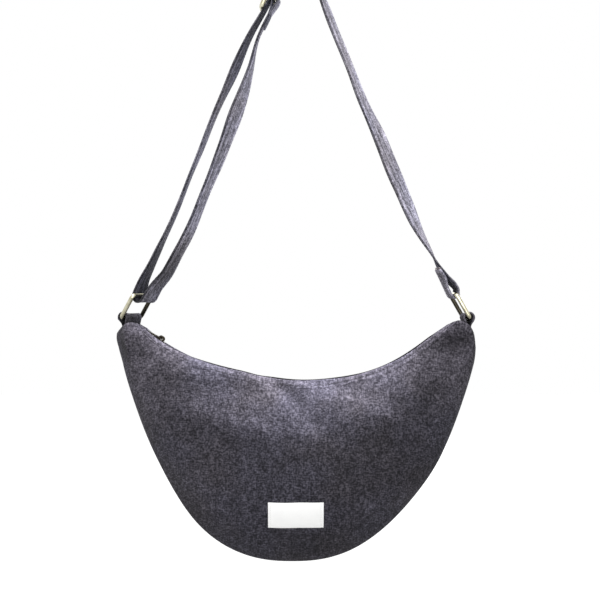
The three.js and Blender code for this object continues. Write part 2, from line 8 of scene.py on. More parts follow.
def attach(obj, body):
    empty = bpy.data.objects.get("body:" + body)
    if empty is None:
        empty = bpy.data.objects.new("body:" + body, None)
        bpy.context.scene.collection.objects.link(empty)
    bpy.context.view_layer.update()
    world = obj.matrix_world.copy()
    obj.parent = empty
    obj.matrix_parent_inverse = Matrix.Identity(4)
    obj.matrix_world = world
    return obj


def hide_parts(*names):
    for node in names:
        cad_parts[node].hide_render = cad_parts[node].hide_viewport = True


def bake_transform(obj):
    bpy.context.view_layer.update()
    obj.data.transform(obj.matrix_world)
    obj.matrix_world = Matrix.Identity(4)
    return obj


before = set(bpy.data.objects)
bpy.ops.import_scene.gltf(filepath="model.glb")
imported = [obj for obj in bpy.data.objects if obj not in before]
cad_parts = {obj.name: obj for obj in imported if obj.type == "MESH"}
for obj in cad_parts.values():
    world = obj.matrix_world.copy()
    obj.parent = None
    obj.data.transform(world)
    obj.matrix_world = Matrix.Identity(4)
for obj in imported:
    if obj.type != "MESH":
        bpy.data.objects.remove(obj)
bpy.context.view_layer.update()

MM = 0.001

# Camera

camera_data = bpy.data.cameras.new("front_camera")
camera_data.sensor_width = 36.0
camera_data.lens = 71.74
camera = bpy.data.objects.new("front_camera", camera_data)
camera.location = (0.0032, -1.1, -0.3165)
camera.rotation_euler = (math.radians(90), 0, 0)
bpy.context.scene.collection.objects.link(camera)
bpy.context.scene.camera = camera
bpy.context.scene.view_settings.view_transform = "Standard"


# Modelling helpers

def begin():
    """Leaves edit mode and deselects everything."""
    if bpy.context.object and bpy.context.object.mode != "OBJECT":
        bpy.ops.object.mode_set(mode="OBJECT")
    bpy.ops.object.select_all(action="DESELECT")


def named(name):
    """The piece that was just made, under its name."""
    piece = bpy.context.object
    piece.name = name
    piece.data.name = name
    return piece


def only(piece):
    """Selects one piece and makes it the active one."""
    begin()
    piece.select_set(True)
    bpy.context.view_layer.objects.active = piece


def edit(piece, kind):
    """Opens a piece in edit mode with nothing selected."""
    only(piece)
    bpy.ops.object.mode_set(mode="EDIT")
    bpy.ops.mesh.select_mode(type=kind)
    bpy.ops.mesh.select_all(action="DESELECT")


def edit_all(piece):
    """Opens a piece in edit mode with all of it selected."""
    edit(piece, "VERT")
    bpy.ops.mesh.select_all(action="SELECT")


def done():
    bpy.ops.object.mode_set(mode="OBJECT")


def pick_edges(piece, test):
    """Selects the edges whose middle and direction pass a test."""
    done()
    for edge in piece.data.edges:
        a, b = (piece.data.vertices[i].co for i in edge.vertices)
        edge.select = test((a + b) / 2, (b - a).normalized())
    bpy.ops.object.mode_set(mode="EDIT")


def pick_corners(piece, test):
    """Selects the corners whose place passes a test."""
    done()
    for corner in piece.data.vertices:
        corner.select = test(corner.co)
    bpy.ops.object.mode_set(mode="EDIT")


def made(name, add_primitive, stretch, place=(0, 0, 0), **how):
    """A primitive under its name, stretched to its size and moved to its place."""
    begin()
    add_primitive(**how)
    piece = named(name)
    piece.scale = stretch
    piece.location = place
    bpy.ops.object.transform_apply(location=True, rotation=True, scale=True)
    return piece


def modify(piece, kind, **settings):
    """Adds a modifier with its settings and applies it."""
    modifier = piece.modifiers.new(kind.lower(), kind)
    for key, value in settings.items():
        setattr(modifier, key, value)
    only(piece)
    bpy.ops.object.modifier_apply(modifier=modifier.name)


def thicken(piece, thickness, offset):
    """Gives a sheet of cloth its thickness in millimetres."""
    modify(piece, "SOLIDIFY", thickness=thickness * MM, offset=offset)


def round_edges(piece, width, segments):
    """Rounds the sharp edges by a width in the units that the piece is modelled in."""
    modify(piece, "BEVEL", width=width, segments=segments, limit_method="ANGLE")


def joined(name, piece, *others):
    only(piece)
    for other in others:
        other.select_set(True)
    bpy.ops.object.join()
    return named(name)


def smooth(piece, angle=40):
    only(piece)
    bpy.ops.object.shade_smooth_by_angle(angle=math.radians(angle))


def sit(piece, matrix):
    """Moves a piece that was modelled at the origin, in millimetres, to its seat on the bag."""
    piece.data.transform(matrix @ Matrix.Scale(MM, 4))
    piece.matrix_world = Matrix.Identity(4)


def cloth_grid(name, across, along, shape, cloth, marks=None, closed=False):
    """A grid laid out by shape(u, v) in millimetres, with a map of the cloth and marks for its material."""
    begin()
    bpy.ops.mesh.primitive_grid_add(x_subdivisions=across, y_subdivisions=along, size=2)
    piece = named(name)
    mesh = piece.data
    flat = np.empty(len(mesh.vertices) * 3)
    mesh.vertices.foreach_get("co", flat)
    flat = flat.reshape(-1, 3)
    u, v = (flat[:, 0] + 1) / 2, (flat[:, 1] + 1) / 2
    mesh.vertices.foreach_set("co", (shape(u, v) * MM).ravel())
    corner = np.empty(len(mesh.loops), int)
    mesh.loops.foreach_get("vertex_index", corner)
    laid = cloth(u, v) * MM
    uv = mesh.uv_layers[0]
    uv.name = "cloth"
    uv.data.foreach_set("uv", laid[corner].ravel())
    for mark, value in (marks or {}).items():
        mesh.attributes.new(mark, "FLOAT", "POINT").data.foreach_set("value", value(u, v))
    mesh.update()
    edit_all(piece)
    bpy.ops.mesh.remove_doubles(threshold=2e-6)
    if closed:
        bpy.ops.mesh.fill_holes(sides=0)
    bpy.ops.mesh.select_all(action="SELECT")
    bpy.ops.mesh.normals_make_consistent(inside=False)
    done()
    smooth(piece)
    return piece


def flat_cloth(width, height):
    """The map of a cloth that is laid flat, by its size in millimetres."""
    def cloth(u, v):
        return np.stack([u * width, v * height], 1)

    return cloth


# Material helpers. Noise and wave scales are per metre.

def finish_of(name, constants):
    """A new material, its node tree, and its shader with constants on its sockets."""
    material = bpy.data.materials.new(name)
    material.use_nodes = True
    tree = material.node_tree
    shader = tree.nodes["Principled BSDF"]
    for socket, value in constants.items():
        shader.inputs[socket].default_value = value
    return material, tree, shader


def add(tree, kind, links=None, **settings):
    """A node with its settings, and with each named socket linked or given its value."""
    node = tree.nodes.new(kind)
    for key, value in settings.items():
        setattr(node, key, value)
    for socket, value in (links or {}).items():
        if isinstance(value, bpy.types.NodeSocket):
            tree.links.new(value, node.inputs[socket])
        else:
            node.inputs[socket].default_value = value
    return node


def maths(tree, operation, a, b):
    return add(tree, "ShaderNodeMath", {0: a, 1: b}, operation=operation).outputs[0]


def mixed(tree, share, a, b, blend="MIX"):
    return add(tree, "ShaderNodeMix", {0: share, 6: a, 7: b}, data_type="RGBA", blend_type=blend).outputs[2]


def ramp(tree, value, *stops):
    node = add(tree, "ShaderNodeValToRGB", {0: value})
    elements = node.color_ramp.elements
    while len(elements) < len(stops):
        elements.new(0.5)
    for element, (position, shade) in zip(elements, stops):
        element.position = position
        element.color = (*shade, 1)
    return node.outputs[0]


def noise(tree, coordinates, scale, detail=2.0, roughness=0.5):
    return add(tree, "ShaderNodeTexNoise", {
        "Vector": coordinates, "Scale": scale, "Detail": detail, "Roughness": roughness,
    }).outputs[0]


def wave(tree, coordinates, scale, direction, distortion, detail_scale=1.0):
    return add(tree, "ShaderNodeTexWave", {
        "Vector": coordinates, "Scale": scale, "Distortion": distortion,
        "Detail": 1.0, "Detail Scale": detail_scale,
    }, bands_direction=direction).outputs["Fac"]


def stretched(tree, coordinates, scale):
    return add(tree, "ShaderNodeMapping", {"Vector": coordinates, "Scale": scale}).outputs[0]


def spread(tree, value, low, high, at_low, at_high):
    """Carries a value from one range over to another."""
    return add(tree, "ShaderNodeMapRange", {0: value, 1: low, 2: high, 3: at_low, 4: at_high}).outputs[0]


def object_place(tree):
    return add(tree, "ShaderNodeTexCoord").outputs["Object"]


def cloth_map(tree):
    return add(tree, "ShaderNodeUVMap", uv_map="cloth").outputs[0]


def marked(tree, mark):
    return add(tree, "ShaderNodeAttribute", attribute_name=mark).outputs["Fac"]


def roughened(tree, shader, value, at_low, at_high):
    tree.links.new(spread(tree, value, 0.3, 0.7, at_low, at_high), shader.inputs["Roughness"])


def raised(tree, shader, height, strength, distance):
    bump = add(tree, "ShaderNodeBump", {"Height": height, "Strength": strength, "Distance": distance})
    tree.links.new(bump.outputs[0], shader.inputs["Normal"])


# Materials

def washed_denim(name, deep, middle, pale, streakiness=0.06, reverse_shade=(0.5, 0.5, 0.5, 1)):
    """Worn denim: flecks, slubby yarn, streaks, a faint twill and washed clouds.

    The mark "tone" on a piece says how pale it is, painted light and shade included, and "inside" where the
    cloth shows its other side, darkened by a colour of painted shade.
    """
    sheen = {"Sheen Weight": 0.05, "Sheen Roughness": 0.6, "Specular IOR Level": 0.12}
    material, tree, shader = finish_of(name, sheen)
    cloth = cloth_map(tree)
    place = object_place(tree)
    tone = marked(tree, "tone")
    fleck = noise(tree, place, 560, 1, 0.5)
    slub_warp = noise(tree, stretched(tree, cloth, (1000, 230, 1)), 1, 1)
    slub_weft = noise(tree, stretched(tree, cloth, (230, 1050, 1)), 1, 1)
    streaks = noise(tree, stretched(tree, cloth, (430, 38, 1)), 1, 2, 0.6)
    clouds = noise(tree, place, 34, 3, 0.6)
    mottle = noise(tree, place, 150, 2, 0.8)
    twill = wave(tree, cloth, 560.0, "DIAGONAL", 0.6, 0.4)

    def about_middle(value, weight):
        return maths(tree, "MULTIPLY", maths(tree, "SUBTRACT", value, 0.5), weight)

    weave = add(tree, "ShaderNodeMix", {0: 0.55, 2: slub_warp, 3: slub_weft}).outputs[0]
    body = maths(tree, "ADD", maths(tree, "MULTIPLY", fleck, 0.42), maths(tree, "MULTIPLY", weave, 0.58))
    body = maths(tree, "ADD", body, about_middle(streaks, streakiness))
    body = maths(tree, "ADD", body, about_middle(twill, 0.05))
    shade = ramp(tree, body, (0.40, deep), (0.50, middle), (0.60, pale))
    softness = spread(tree, tone, 0.4, 2.2, 0.1, 0.36)
    shade = mixed(tree, softness, shade, (*middle, 1))
    wash = spread(tree, clouds, 0.3, 0.7, 0.88, 1.12)
    patches = spread(tree, mottle, 0.3, 0.7, 0.64, 1.36)
    faded = maths(tree, "MULTIPLY", maths(tree, "MULTIPLY", tone, wash), patches)
    cast = ramp(tree, noise(tree, place, 17, 2), (0.4, (1.02, 1.0, 0.98)), (0.6, (0.985, 0.995, 1.045)))
    tinted = mixed(tree, 1.0, shade, cast, "MULTIPLY")
    toned = add(tree, "ShaderNodeVectorMath", {0: tinted, "Scale": faded}, operation="SCALE").outputs[0]
    # Painted shade where the cloth shows its other side.
    back_in_shade = mixed(tree, 1.0, toned, reverse_shade, "MULTIPLY")
    tree.links.new(mixed(tree, marked(tree, "inside"), toned, back_in_shade), shader.inputs["Base Color"])
    roughened(tree, shader, fleck, 0.98, 0.86)
    raised(tree, shader, maths(tree, "ADD", maths(tree, "MULTIPLY", twill, 0.3), body), 0.6, 0.0006)
    return material


def plain_woven(name, low, high, pitch, relief=0.0003):
    """Plain weave with a thread pitch in millimetres, and faint stains."""
    material, tree, shader = finish_of(name, {"Specular IOR Level": 0.25})
    cloth = cloth_map(tree)
    threads_scale = 0.314 / (pitch * MM)
    warp = wave(tree, cloth, threads_scale, "X", 0.4)
    weft = wave(tree, cloth, threads_scale, "Y", 0.4)
    stain = noise(tree, object_place(tree), 90, 3, 0.6)
    threads = maths(tree, "MAXIMUM", warp, weft)
    body = maths(tree, "ADD", maths(tree, "MULTIPLY", threads, 0.5), maths(tree, "MULTIPLY", stain, 0.5))
    tree.links.new(ramp(tree, body, (0.3, low), (0.75, high)), shader.inputs["Base Color"])
    roughened(tree, shader, stain, 0.9, 0.8)
    raised(tree, shader, threads, 0.5, relief)
    return material


def metal(name, bright, dull, roughness, grain):
    """Plated wire and cast fittings: fine brushing, tarnish in patches, and a dark painted shade where
    marked.
    """
    material, tree, shader = finish_of(name, {"Metallic": 1.0})
    place = object_place(tree)
    tarnish = noise(tree, place, 160, 4, 0.6)
    brushing = noise(tree, place, grain, 2, 0.6)
    patch = ramp(tree, tarnish, (0.38, dull), (0.62, bright))
    # Where marked, painted shade darkens the metal to near black.
    tarnished_and_shaded = mixed(tree, marked(tree, "painted_shade"), patch, (0.018, 0.015, 0.011, 1))
    tree.links.new(tarnished_and_shaded, shader.inputs["Base Color"])
    roughened(tree, shader, tarnish, roughness + 0.12, roughness - 0.06)
    raised(tree, shader, brushing, 0.2, 0.0001)
    return material


def fine_grained(name, low, high, grain, roughest, smoothest, relief):
    """A small plain part with a fine grain in its colour, roughness and relief."""
    material, tree, shader = finish_of(name, {})
    mark = noise(tree, object_place(tree), grain, 2)
    tree.links.new(ramp(tree, mark, (0.3, low), (0.7, high)), shader.inputs["Base Color"])
    roughened(tree, shader, mark, roughest, smoothest)
    raised(tree, shader, mark, relief, 0.0001)
    return material


def thread(name, low, high):
    return fine_grained(name, low, high, 2400, 0.85, 0.7, 0.4)


PANEL_DENIM = washed_denim("panel_denim", (0.020, 0.019, 0.025), (0.069, 0.0645, 0.0825),
                           (0.162, 0.153, 0.186))
# The last colour is painted shade inside the loops.
LOOP_DENIM = washed_denim("loop_denim", (0.012, 0.011, 0.015), (0.050, 0.047, 0.058), (0.105, 0.100, 0.120),
                          0.06, (0.2, 0.2, 0.22, 1))
# The last colour is painted shade on the strap's other side.
STRAP_DENIM = washed_denim("strap_denim", (0.095, 0.092, 0.112), (0.345, 0.332, 0.402), (0.63, 0.61, 0.71),
                           0.62, (0.34, 0.355, 0.395, 1))
LABEL_COTTON = plain_woven("label_cotton", (0.90, 0.905, 0.90), (0.98, 0.98, 0.97), 0.42, relief=0.0001)
LINING_COTTON = plain_woven("lining_cotton", (0.10, 0.10, 0.105), (0.19, 0.185, 0.19), 0.5)
ZIP_TAPE = plain_woven("zip_tape_weave", (0.012, 0.012, 0.014), (0.032, 0.031, 0.035), 0.8)
RING_BRASS = metal("ring_brass", (0.76, 0.73, 0.56), (0.46, 0.43, 0.30), 0.22, 2200)
ZIP_METAL = metal("zip_metal", (0.060, 0.052, 0.038), (0.022, 0.019, 0.015), 0.46, 2600)
ZIP_COIL = fine_grained("zip_coil_nylon", (0.010, 0.010, 0.012), (0.028, 0.028, 0.032), 700, 0.5, 0.36, 0.15)
GREY_THREAD = thread("grey_thread", (0.045, 0.043, 0.050), (0.11, 0.105, 0.125))
RAW_YARN = thread("raw_yarn", (0.34, 0.29, 0.30), (0.60, 0.53, 0.54))
WHITE_THREAD = thread("white_thread", (0.66, 0.66, 0.65), (0.84, 0.84, 0.82))


def dress(piece, material, body, nodes=()):
    """Gives a piece its material, the body it rides on and the CAD nodes it stands for."""
    piece.data.materials.clear()
    piece.data.materials.append(material)
    if body:
        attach(piece, body)
    if nodes:
        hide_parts(*nodes)
    return piece


# Bag panels, in millimetres
# Lines run from the seam up to the mouth: 0 in the middle, 14 at the widest level, 17 at the ear's end.

BODY_LINES, EAR_LINES = 14, 3
ALL_LINES = BODY_LINES + EAR_LINES
LINE_PITCH = 9.2
HALF_WIDTH = 164.2
BELLY_HEIGHT = 195.5
SAG = 0.7
SEAM_POWER_WIDTH, SEAM_POWER_HEIGHT = 2.4, 1.3
EAR_HEIGHT, EAR_WIDTH, EAR_STEP, EAR_TAPER = 18.3, 24.35, 3.5, 0.7
EAR_CORNER = 3.0
EAR_SPREAD = 1.9
EAR_DROP = 4.5
LEFT_DOME, RIGHT_DOME = 7.0, 5.0
MOUTH_END_Z = -338.8
MOUTH_END_X = HALF_WIDTH - EAR_WIDTH
MOUTH_DEPTH = 51.6
MOUTH_RADIUS = (MOUTH_END_X ** 2 + MOUTH_DEPTH ** 2) / (2 * MOUTH_DEPTH)
MOUTH_CENTRE_Z = MOUTH_END_Z - MOUTH_DEPTH + MOUTH_RADIUS
MOUTH_ANGLE = math.asin(MOUTH_END_X / MOUTH_RADIUS)
MOUTH_OF_BODY, MOUTH_OF_EAR = 0.87, 0.13
MOUTH_HALF = 13.9
WIDEST_Z = MOUTH_END_Z - EAR_STEP - EAR_HEIGHT
WALL = 1.6
FRONT_BELLY, BACK_BELLY = 24.0, 22.0
BELLY_LOW, BELLY_PEAKED, BELLY_FALL = 0.85, 1.5, 1.2
BACK_FLAT, FLAT_SOFTNESS = 22.0, 0.8
BOTTOM_ROUNDING, EAR_ROUNDING = 40, 4
SIDE_WALL, SIDE_WALL_CURVE = 9.5, 0.92
SIDE_WALL_LOW, SIDE_WALL_HIGH = -388, -360
SEAT_GAP = 0.15


def bump_at(x, centre, width):
    """A soft bump, 1 at its centre."""
    return np.exp(-((x - centre) / width) ** 2)


def ramped(value, start, end):
    """A soft step, from 0 at the start to 1 at the end."""
    share = np.clip((value - start) / (end - start), 0, 1)
    return share * share * (3 - 2 * share)


def bumps(x, places):
    """The sum of soft bumps, each given by its height, its centre and half its width."""
    return sum(height * bump_at(x, centre, width) for height, centre, width in places)


def ripple(run, waves):
    """The sum of waves along a run, each given by its height, the run of one radian, and its start."""
    return sum(height * np.sin(run / radian + start) for height, radian, start in waves)


def lean(z):
    """Sideways set of the hanging bag: right of the middle at the belly, left of it at the bottom."""
    return 1.9 * ramped(z, -350, -375) - 5.6 * ramped(z, -460, -543)


def hung(x, y, z):
    """Places on the hanging bag."""
    return np.stack([x + lean(z), y, z], 1)


def slim(z):
    """The belly stands nearer than the seam, so its sides are drawn in a little."""
    return 1 - bumps(z, ((0.010, -415, 50), (0.006, -500, 26)))


# How much the mouth edge is raised, where across the bag, and half how wide.
MOUTH_WAVES = (
    (2.4, -44, 34), (-1.6, -134, 9), (-2.8, -112, 24), (1.2, 118, 22), (-1.3, 66, 26), (-0.9, -37, 10),
    (1.0, 131, 12),
)
FRONT_EDGE_DROP, BACK_EDGE_DROP, BACK_EDGE_LOWEST = 0.5, 2.6, -4.6


def mouth_lift(x, front):
    """Uneven mouth edge; the back edge stays lower, so that the zip lies behind the front hem."""
    lift = bumps(x, MOUTH_WAVES)
    return lift - FRONT_EDGE_DROP if front else np.maximum(lift - BACK_EDGE_DROP, BACK_EDGE_LOWEST)


def rim(line, front):
    """The bottom seam and the mouth edge at a line, and how far the line is along the body and the ear."""
    hand = np.sign(line)
    body = np.minimum(np.abs(line) / BODY_LINES, 1)
    ear = np.maximum(np.abs(line) - BODY_LINES, 0) / EAR_LINES
    swing = body * math.pi / 2
    level = np.maximum(np.cos(swing), 0)
    seam_x = hand * (HALF_WIDTH * np.sin(swing) ** (2 / SEAM_POWER_WIDTH) - EAR_TAPER * ear ** 2)
    seam_x -= np.where(hand > 0, EAR_CORNER * ear ** 4, EAR_SPREAD * ramped(ear, -0.3, 0.6))
    seam_z = WIDEST_Z - (BELLY_HEIGHT + SAG) * level ** (2 / SEAM_POWER_HEIGHT) + EAR_HEIGHT * ear
    seam_z -= np.where(hand < 0, EAR_DROP * ear ** 3, 0)
    angle = hand * MOUTH_ANGLE * (body * MOUTH_OF_BODY + ear * MOUTH_OF_EAR)
    mouth_x = MOUTH_RADIUS * np.sin(angle)
    mouth_z = MOUTH_CENTRE_Z - MOUTH_RADIUS * np.cos(angle) + mouth_lift(mouth_x, front)
    return seam_x, seam_z, mouth_x, mouth_z, body, ear


def line_length(line, front):
    """Straight distance from the seam to the mouth along a line."""
    seam_x, seam_z, mouth_x, mouth_z = rim(line, front)[:4]
    return np.hypot(mouth_x - seam_x, mouth_z - seam_z)


# Soft folds of cloth that hangs from two corners: where each starts and ends, half its width, its height.
FOLDS = (
    ((17, -397), (86, -419), 6, 3.2), ((95, -417), (129, -393), 15, -2.3), ((-15, -393), (2, -407), 5, -2.6),
    ((-30, -389), (14, -437), 6, 2.6), ((8, -437), (17, -436), 8, 2.2), ((-95, -413), (-25, -433), 7, 2.6),
    ((-88, -432), (-40, -447), 12, -1.5), ((-131, -387), (-42, -396), 7, -1.8),
    ((30, -432), (80, -440), 13, -1.3), ((66, -505), (111, -492), 8, 1.8),
    ((-110, -470), (-60, -520), 14, 1.4), ((8, -541), (20, -543), 8, -1.8),
    ((120, -360), (150, -352), 10, -1.8), ((-150, -355), (-128, -372), 8, -1.6),
)
FOLD_TAIL = 1.6
FOLDS_FROM_SEAM, FOLDS_FROM_MOUTH = 25, 18
FOLDS_AT_SIDES = 0.35


def folds(x, z):
    """Ridges and valleys of the cloth along the fold lines."""
    swell = np.zeros(np.shape(x))
    for (start_x, start_z), (end_x, end_z), width, height in FOLDS:
        length = math.hypot(end_x - start_x, end_z - start_z)
        along_x, along_z = (end_x - start_x) / length, (end_z - start_z) / length
        along = (x - start_x) * along_x + (z - start_z) * along_z
        across = (x - start_x) * along_z - (z - start_z) * along_x
        past = np.maximum(np.maximum(-along, along - length), 0)
        swell += height * np.exp(-(across / width) ** 2 - (past / (FOLD_TAIL * width)) ** 2)
    return swell


def skin(line, share, inset, front):
    """A place on a panel: across, up, depth from the middle plane, and distances from seam and mouth."""
    seam_x, seam_z, mouth_x, mouth_z, body, ear = rim(line, front)
    length = np.hypot(mouth_x - seam_x, mouth_z - seam_z)
    start_x = seam_x + (mouth_x - seam_x) * inset / length
    start_z = seam_z + (mouth_z - seam_z) * inset / length
    dome = np.where(line < 0, LEFT_DOME, RIGHT_DOME) * ear * np.sin(math.pi * share)
    x = start_x + (mouth_x - start_x) * share
    z = start_z + (mouth_z - start_z) * share + dome
    inside = share * length
    above = (1 - share) * length
    boxed = ramped(seam_z, SIDE_WALL_LOW, SIDE_WALL_HIGH) * (line < 0) if front else 0.0
    rounding = BOTTOM_ROUNDING + (EAR_ROUNDING - BOTTOM_ROUNDING) * body ** 2
    climb = np.minimum(inside / (rounding * (1 - boxed) + SIDE_WALL * boxed), 1)
    edge = np.sqrt(1 - (1 - climb) ** 2) * (1 - boxed) + climb ** SIDE_WALL_CURVE * boxed
    full = np.maximum(np.cos(body * math.pi / 2), 0) ** BELLY_FALL
    swell = np.maximum(np.sin(math.pi * share ** BELLY_LOW), 0) ** BELLY_PEAKED * full
    depth = edge * (MOUTH_HALF - inset) + (FRONT_BELLY if front else BACK_BELLY) * swell
    if not front:
        flat = BACK_FLAT - inset
        depth = flat - np.logaddexp(0, (flat - depth) / FLAT_SOFTNESS) * FLAT_SOFTNESS
    quiet = np.clip(inside / FOLDS_FROM_SEAM, 0, 1) * np.clip(above / FOLDS_FROM_MOUTH, 0, 1)
    depth = depth + folds(x, z) * quiet * (FOLDS_AT_SIDES + (1 - FOLDS_AT_SIDES) * full)
    return x * slim(z), z, depth + SEAT_GAP, inside, above


# Paler or darker patches: how much, where across and half how wide, where up and half how high.
TONE_PATCHES = (
    (-0.09, 40, 60, -462, 32), (1.0, -146, 15, -341, 11), (0.85, -124, 16, -356, 15),
    (0.26, 150, 20, -382, 24),
)
RIGHT_EAR_SHADE = (0.38, 142, 19, -356, 12)
LEFT_EAR_SHADE = (0.25, -149, 12, -362, 9)
PLAIN_TONE, TONE_SLOPE = 0.46, 0.02
# Painted light: the denim under the mouth, middle and ends, is drawn paler as if lit from above.
MOUTH_PAINTED_LIGHT, MOUTH_PAINTED_LIGHT_HEIGHT = 1.55, 35
MOUTH_END_PAINTED_LIGHT, MOUTH_END_HEIGHT = ((0.33, -93, 28), (0.22, 105, 28)), 16
# Painted light: the sides are drawn paler where they turn from the light.
SIDE_PAINTED_LIGHT = 0.32
# Painted light and shade along the folds: paler on their ridges, darker in their valleys.
FOLD_PAINTED_SHADE = 0.18
# Painted light: a pale band along the mouth edge, right of the left ear.
EDGE_PAINTED_LIGHT = 0.95
SIDE_WALL_SHADE = 0.38


def patch_at(x, z, amount, centre_x, half_wide, centre_z, half_high):
    return amount * bump_at(x, centre_x, half_wide) * bump_at(z, centre_z, half_high)


def panel_tone(x, z, inside, above, front):
    """How pale the denim is drawn: palest under the mouth and on the left ear, darkest low down; painted
    light under the mouth, on the sides, along the mouth edge and on fold ridges, and painted shade in fold
    valleys, on the ears and on the left side wall.
    """
    tone = PLAIN_TONE - TONE_SLOPE * np.tanh(x / 60)
    tone += MOUTH_PAINTED_LIGHT * bump_at(above, 0, MOUTH_PAINTED_LIGHT_HEIGHT) * bump_at(x, 8, 140)
    for patch in TONE_PATCHES:
        tone += patch_at(x, z, *patch)
    tone += bump_at(above, 0, MOUTH_END_HEIGHT) * bumps(x, MOUTH_END_PAINTED_LIGHT)
    tone += SIDE_PAINTED_LIGHT * ramped(np.abs(x), 108, 142) * bump_at(z, -394, 38)
    tone *= 1 + FOLD_PAINTED_SHADE * folds(x, z) - patch_at(x, z, *RIGHT_EAR_SHADE)
    tone *= 1 - patch_at(x, z, *LEFT_EAR_SHADE)
    tone += EDGE_PAINTED_LIGHT * ramped(above, 8.5, 1.0) * ramped(x, -150, -105) * (1 - 0.5 * bump_at(x, 8, 60))
    if front:
        side_wall = ramped(z, SIDE_WALL_LOW, SIDE_WALL_HIGH) * (x < -120)
        tone *= 1 - SIDE_WALL_SHADE * side_wall * ramped(inside, SIDE_WALL + 1, SIDE_WALL - 2)
    return tone


HEM, HEM_ZONE = 6.6, 10.0
HEM_THICK, HEM_SOFTNESS = 0.6, 1.6
STITCH_LINE, STITCH_RISE = 4.2, 1.9
STITCH_PITCH = 3.4
HEM_PUCKER = ((0.22, STITCH_PITCH / math.pi, 0), (0.3, 7, 1.2), (0.25, 19, 0))
ROLL_HEIGHT, ROLL_EXTRA = 0.9, 0.5
INNER_TONE = 0.6
SEAM_HALF = 0.08
INNER_CLOTH_OFFSET = 300
PANEL_COLUMNS = 238
PANEL_BODY, PANEL_HEM, PANEL_ROLL, PANEL_INNER = 42, 16, 6, 24
PANEL_OUTER = PANEL_BODY + PANEL_HEM
PANEL_ROWS = PANEL_OUTER + PANEL_ROLL + PANEL_INNER + 1


def stitch_line(x):
    """How far under the mouth edge the hem is sewn: closer to it on the right."""
    return STITCH_LINE - STITCH_RISE * ramped(x, 15, 60)


def hem_relief(x, run, above):
    """Where the turned hem is, and how far it stands proud: it sinks along its stitches and puckers."""
    hem = np.clip((HEM + 0.7 * np.sin(run / 13) - above) / HEM_SOFTNESS, 0, 1)
    grooves = bumps(above, ((-0.55, stitch_line(x), 0.9), (-0.35, HEM + 0.8, 1.1)))
    return hem, HEM_THICK * hem + grooves + hem * ripple(run, HEM_PUCKER) * bump_at(above, 4.0, 3.5)


def hem_light_and_shade(x, above):
    """The turned hem is drawn paler, as painted light, darker along its stitches, and with a painted shadow
    under its edge.
    """
    paler_hem = 0.22 * ramped(above, HEM + 0.3, HEM - 1.6)
    return paler_hem + bumps(above, ((-0.32, stitch_line(x), 0.8), (-0.12, HEM + 0.6, 0.9)))


def panel(name, front):
    """Outer face from the seam up, over the rolled hem, and back down the inner face."""
    sign = -1 if front else 1
    even = np.linspace(0, 1, PANEL_BODY + 1)
    body_shares = 0.55 * even ** 1.25 + 0.45 * (0.5 - 0.5 * np.cos(even * math.pi))
    inner_shares = np.append(np.linspace(1, 0, PANEL_INNER + 1)[1:] ** 1.3, 0.0)

    def line_at(u):
        return (u * 2 - 1) * ALL_LINES

    def rows_of(line, v):
        """Each row's number and its share of the way up; rows lie close together in the hem."""
        hem_share = HEM_ZONE / line_length(line, front)
        row = np.rint(v * PANEL_ROWS).astype(int)
        inner = row > PANEL_OUTER + PANEL_ROLL
        climbed = np.clip((row - PANEL_BODY) / PANEL_HEM, 0, 1)
        share = body_shares[np.minimum(row, PANEL_BODY)] * (1 - hem_share) + climbed * hem_share
        share[inner] = inner_shares[row[inner] - PANEL_OUTER - PANEL_ROLL - 1]
        return row, share, inner

    def shape(u, v):
        line = line_at(u)
        row, share, inner = rows_of(line, v)
        closing = row == PANEL_ROWS
        inset = np.where(inner & ~closing, WALL, 0.0)
        x, z, depth, _, above = skin(line, share, inset, front)
        run = line * LINE_PITCH
        hem, proud = hem_relief(x, run, above)
        turn = np.clip((row - PANEL_OUTER) / PANEL_ROLL, 0, 1) * math.pi
        rolled = (row > PANEL_OUTER) & ~inner
        roll = np.where(rolled, (WALL + ROLL_EXTRA) / 2 * (1 - np.cos(turn)), 0)
        depth = depth + np.where(inner, 0, proud) - roll
        z = z + np.where(rolled, ROLL_HEIGHT * np.sin(turn), 0) + 0.25 * hem * np.sin(run / 9)
        return hung(x, sign * np.maximum(depth, SEAM_HALF), z)

    def cloth(u, v):
        at = shape(u, v)
        _, _, inner = rows_of(line_at(u), v)
        up = -at[:, 2] + 0.5 * np.abs(at[:, 1]) + np.where(inner, INNER_CLOTH_OFFSET, 0)
        return np.stack([at[:, 0], up], 1)

    def tone(u, v):
        line = line_at(u)
        _, share, inner = rows_of(line, v)
        x, z, _, inside, above = skin(line, share, 0.0, front)
        outer = panel_tone(x, z, inside, above, front) * (1 + hem_light_and_shade(x, above))
        return np.where(inner, INNER_TONE, outer)

    piece = cloth_grid(name + "_cloth", PANEL_COLUMNS, PANEL_ROWS, shape, cloth, {"tone": tone}, closed=True)
    smooth(piece, 60)
    return dress(piece, PANEL_DENIM, "bag", [name])


panel("front_panel", True)
panel("back_panel", False)

EAR_TOP_SIZE, EAR_TOP_DEPTH = 24, 26
EAR_TOP_DROP, EAR_TOP_SAG = 1.4, 1.3
EAR_TOP_TONE = 0.8


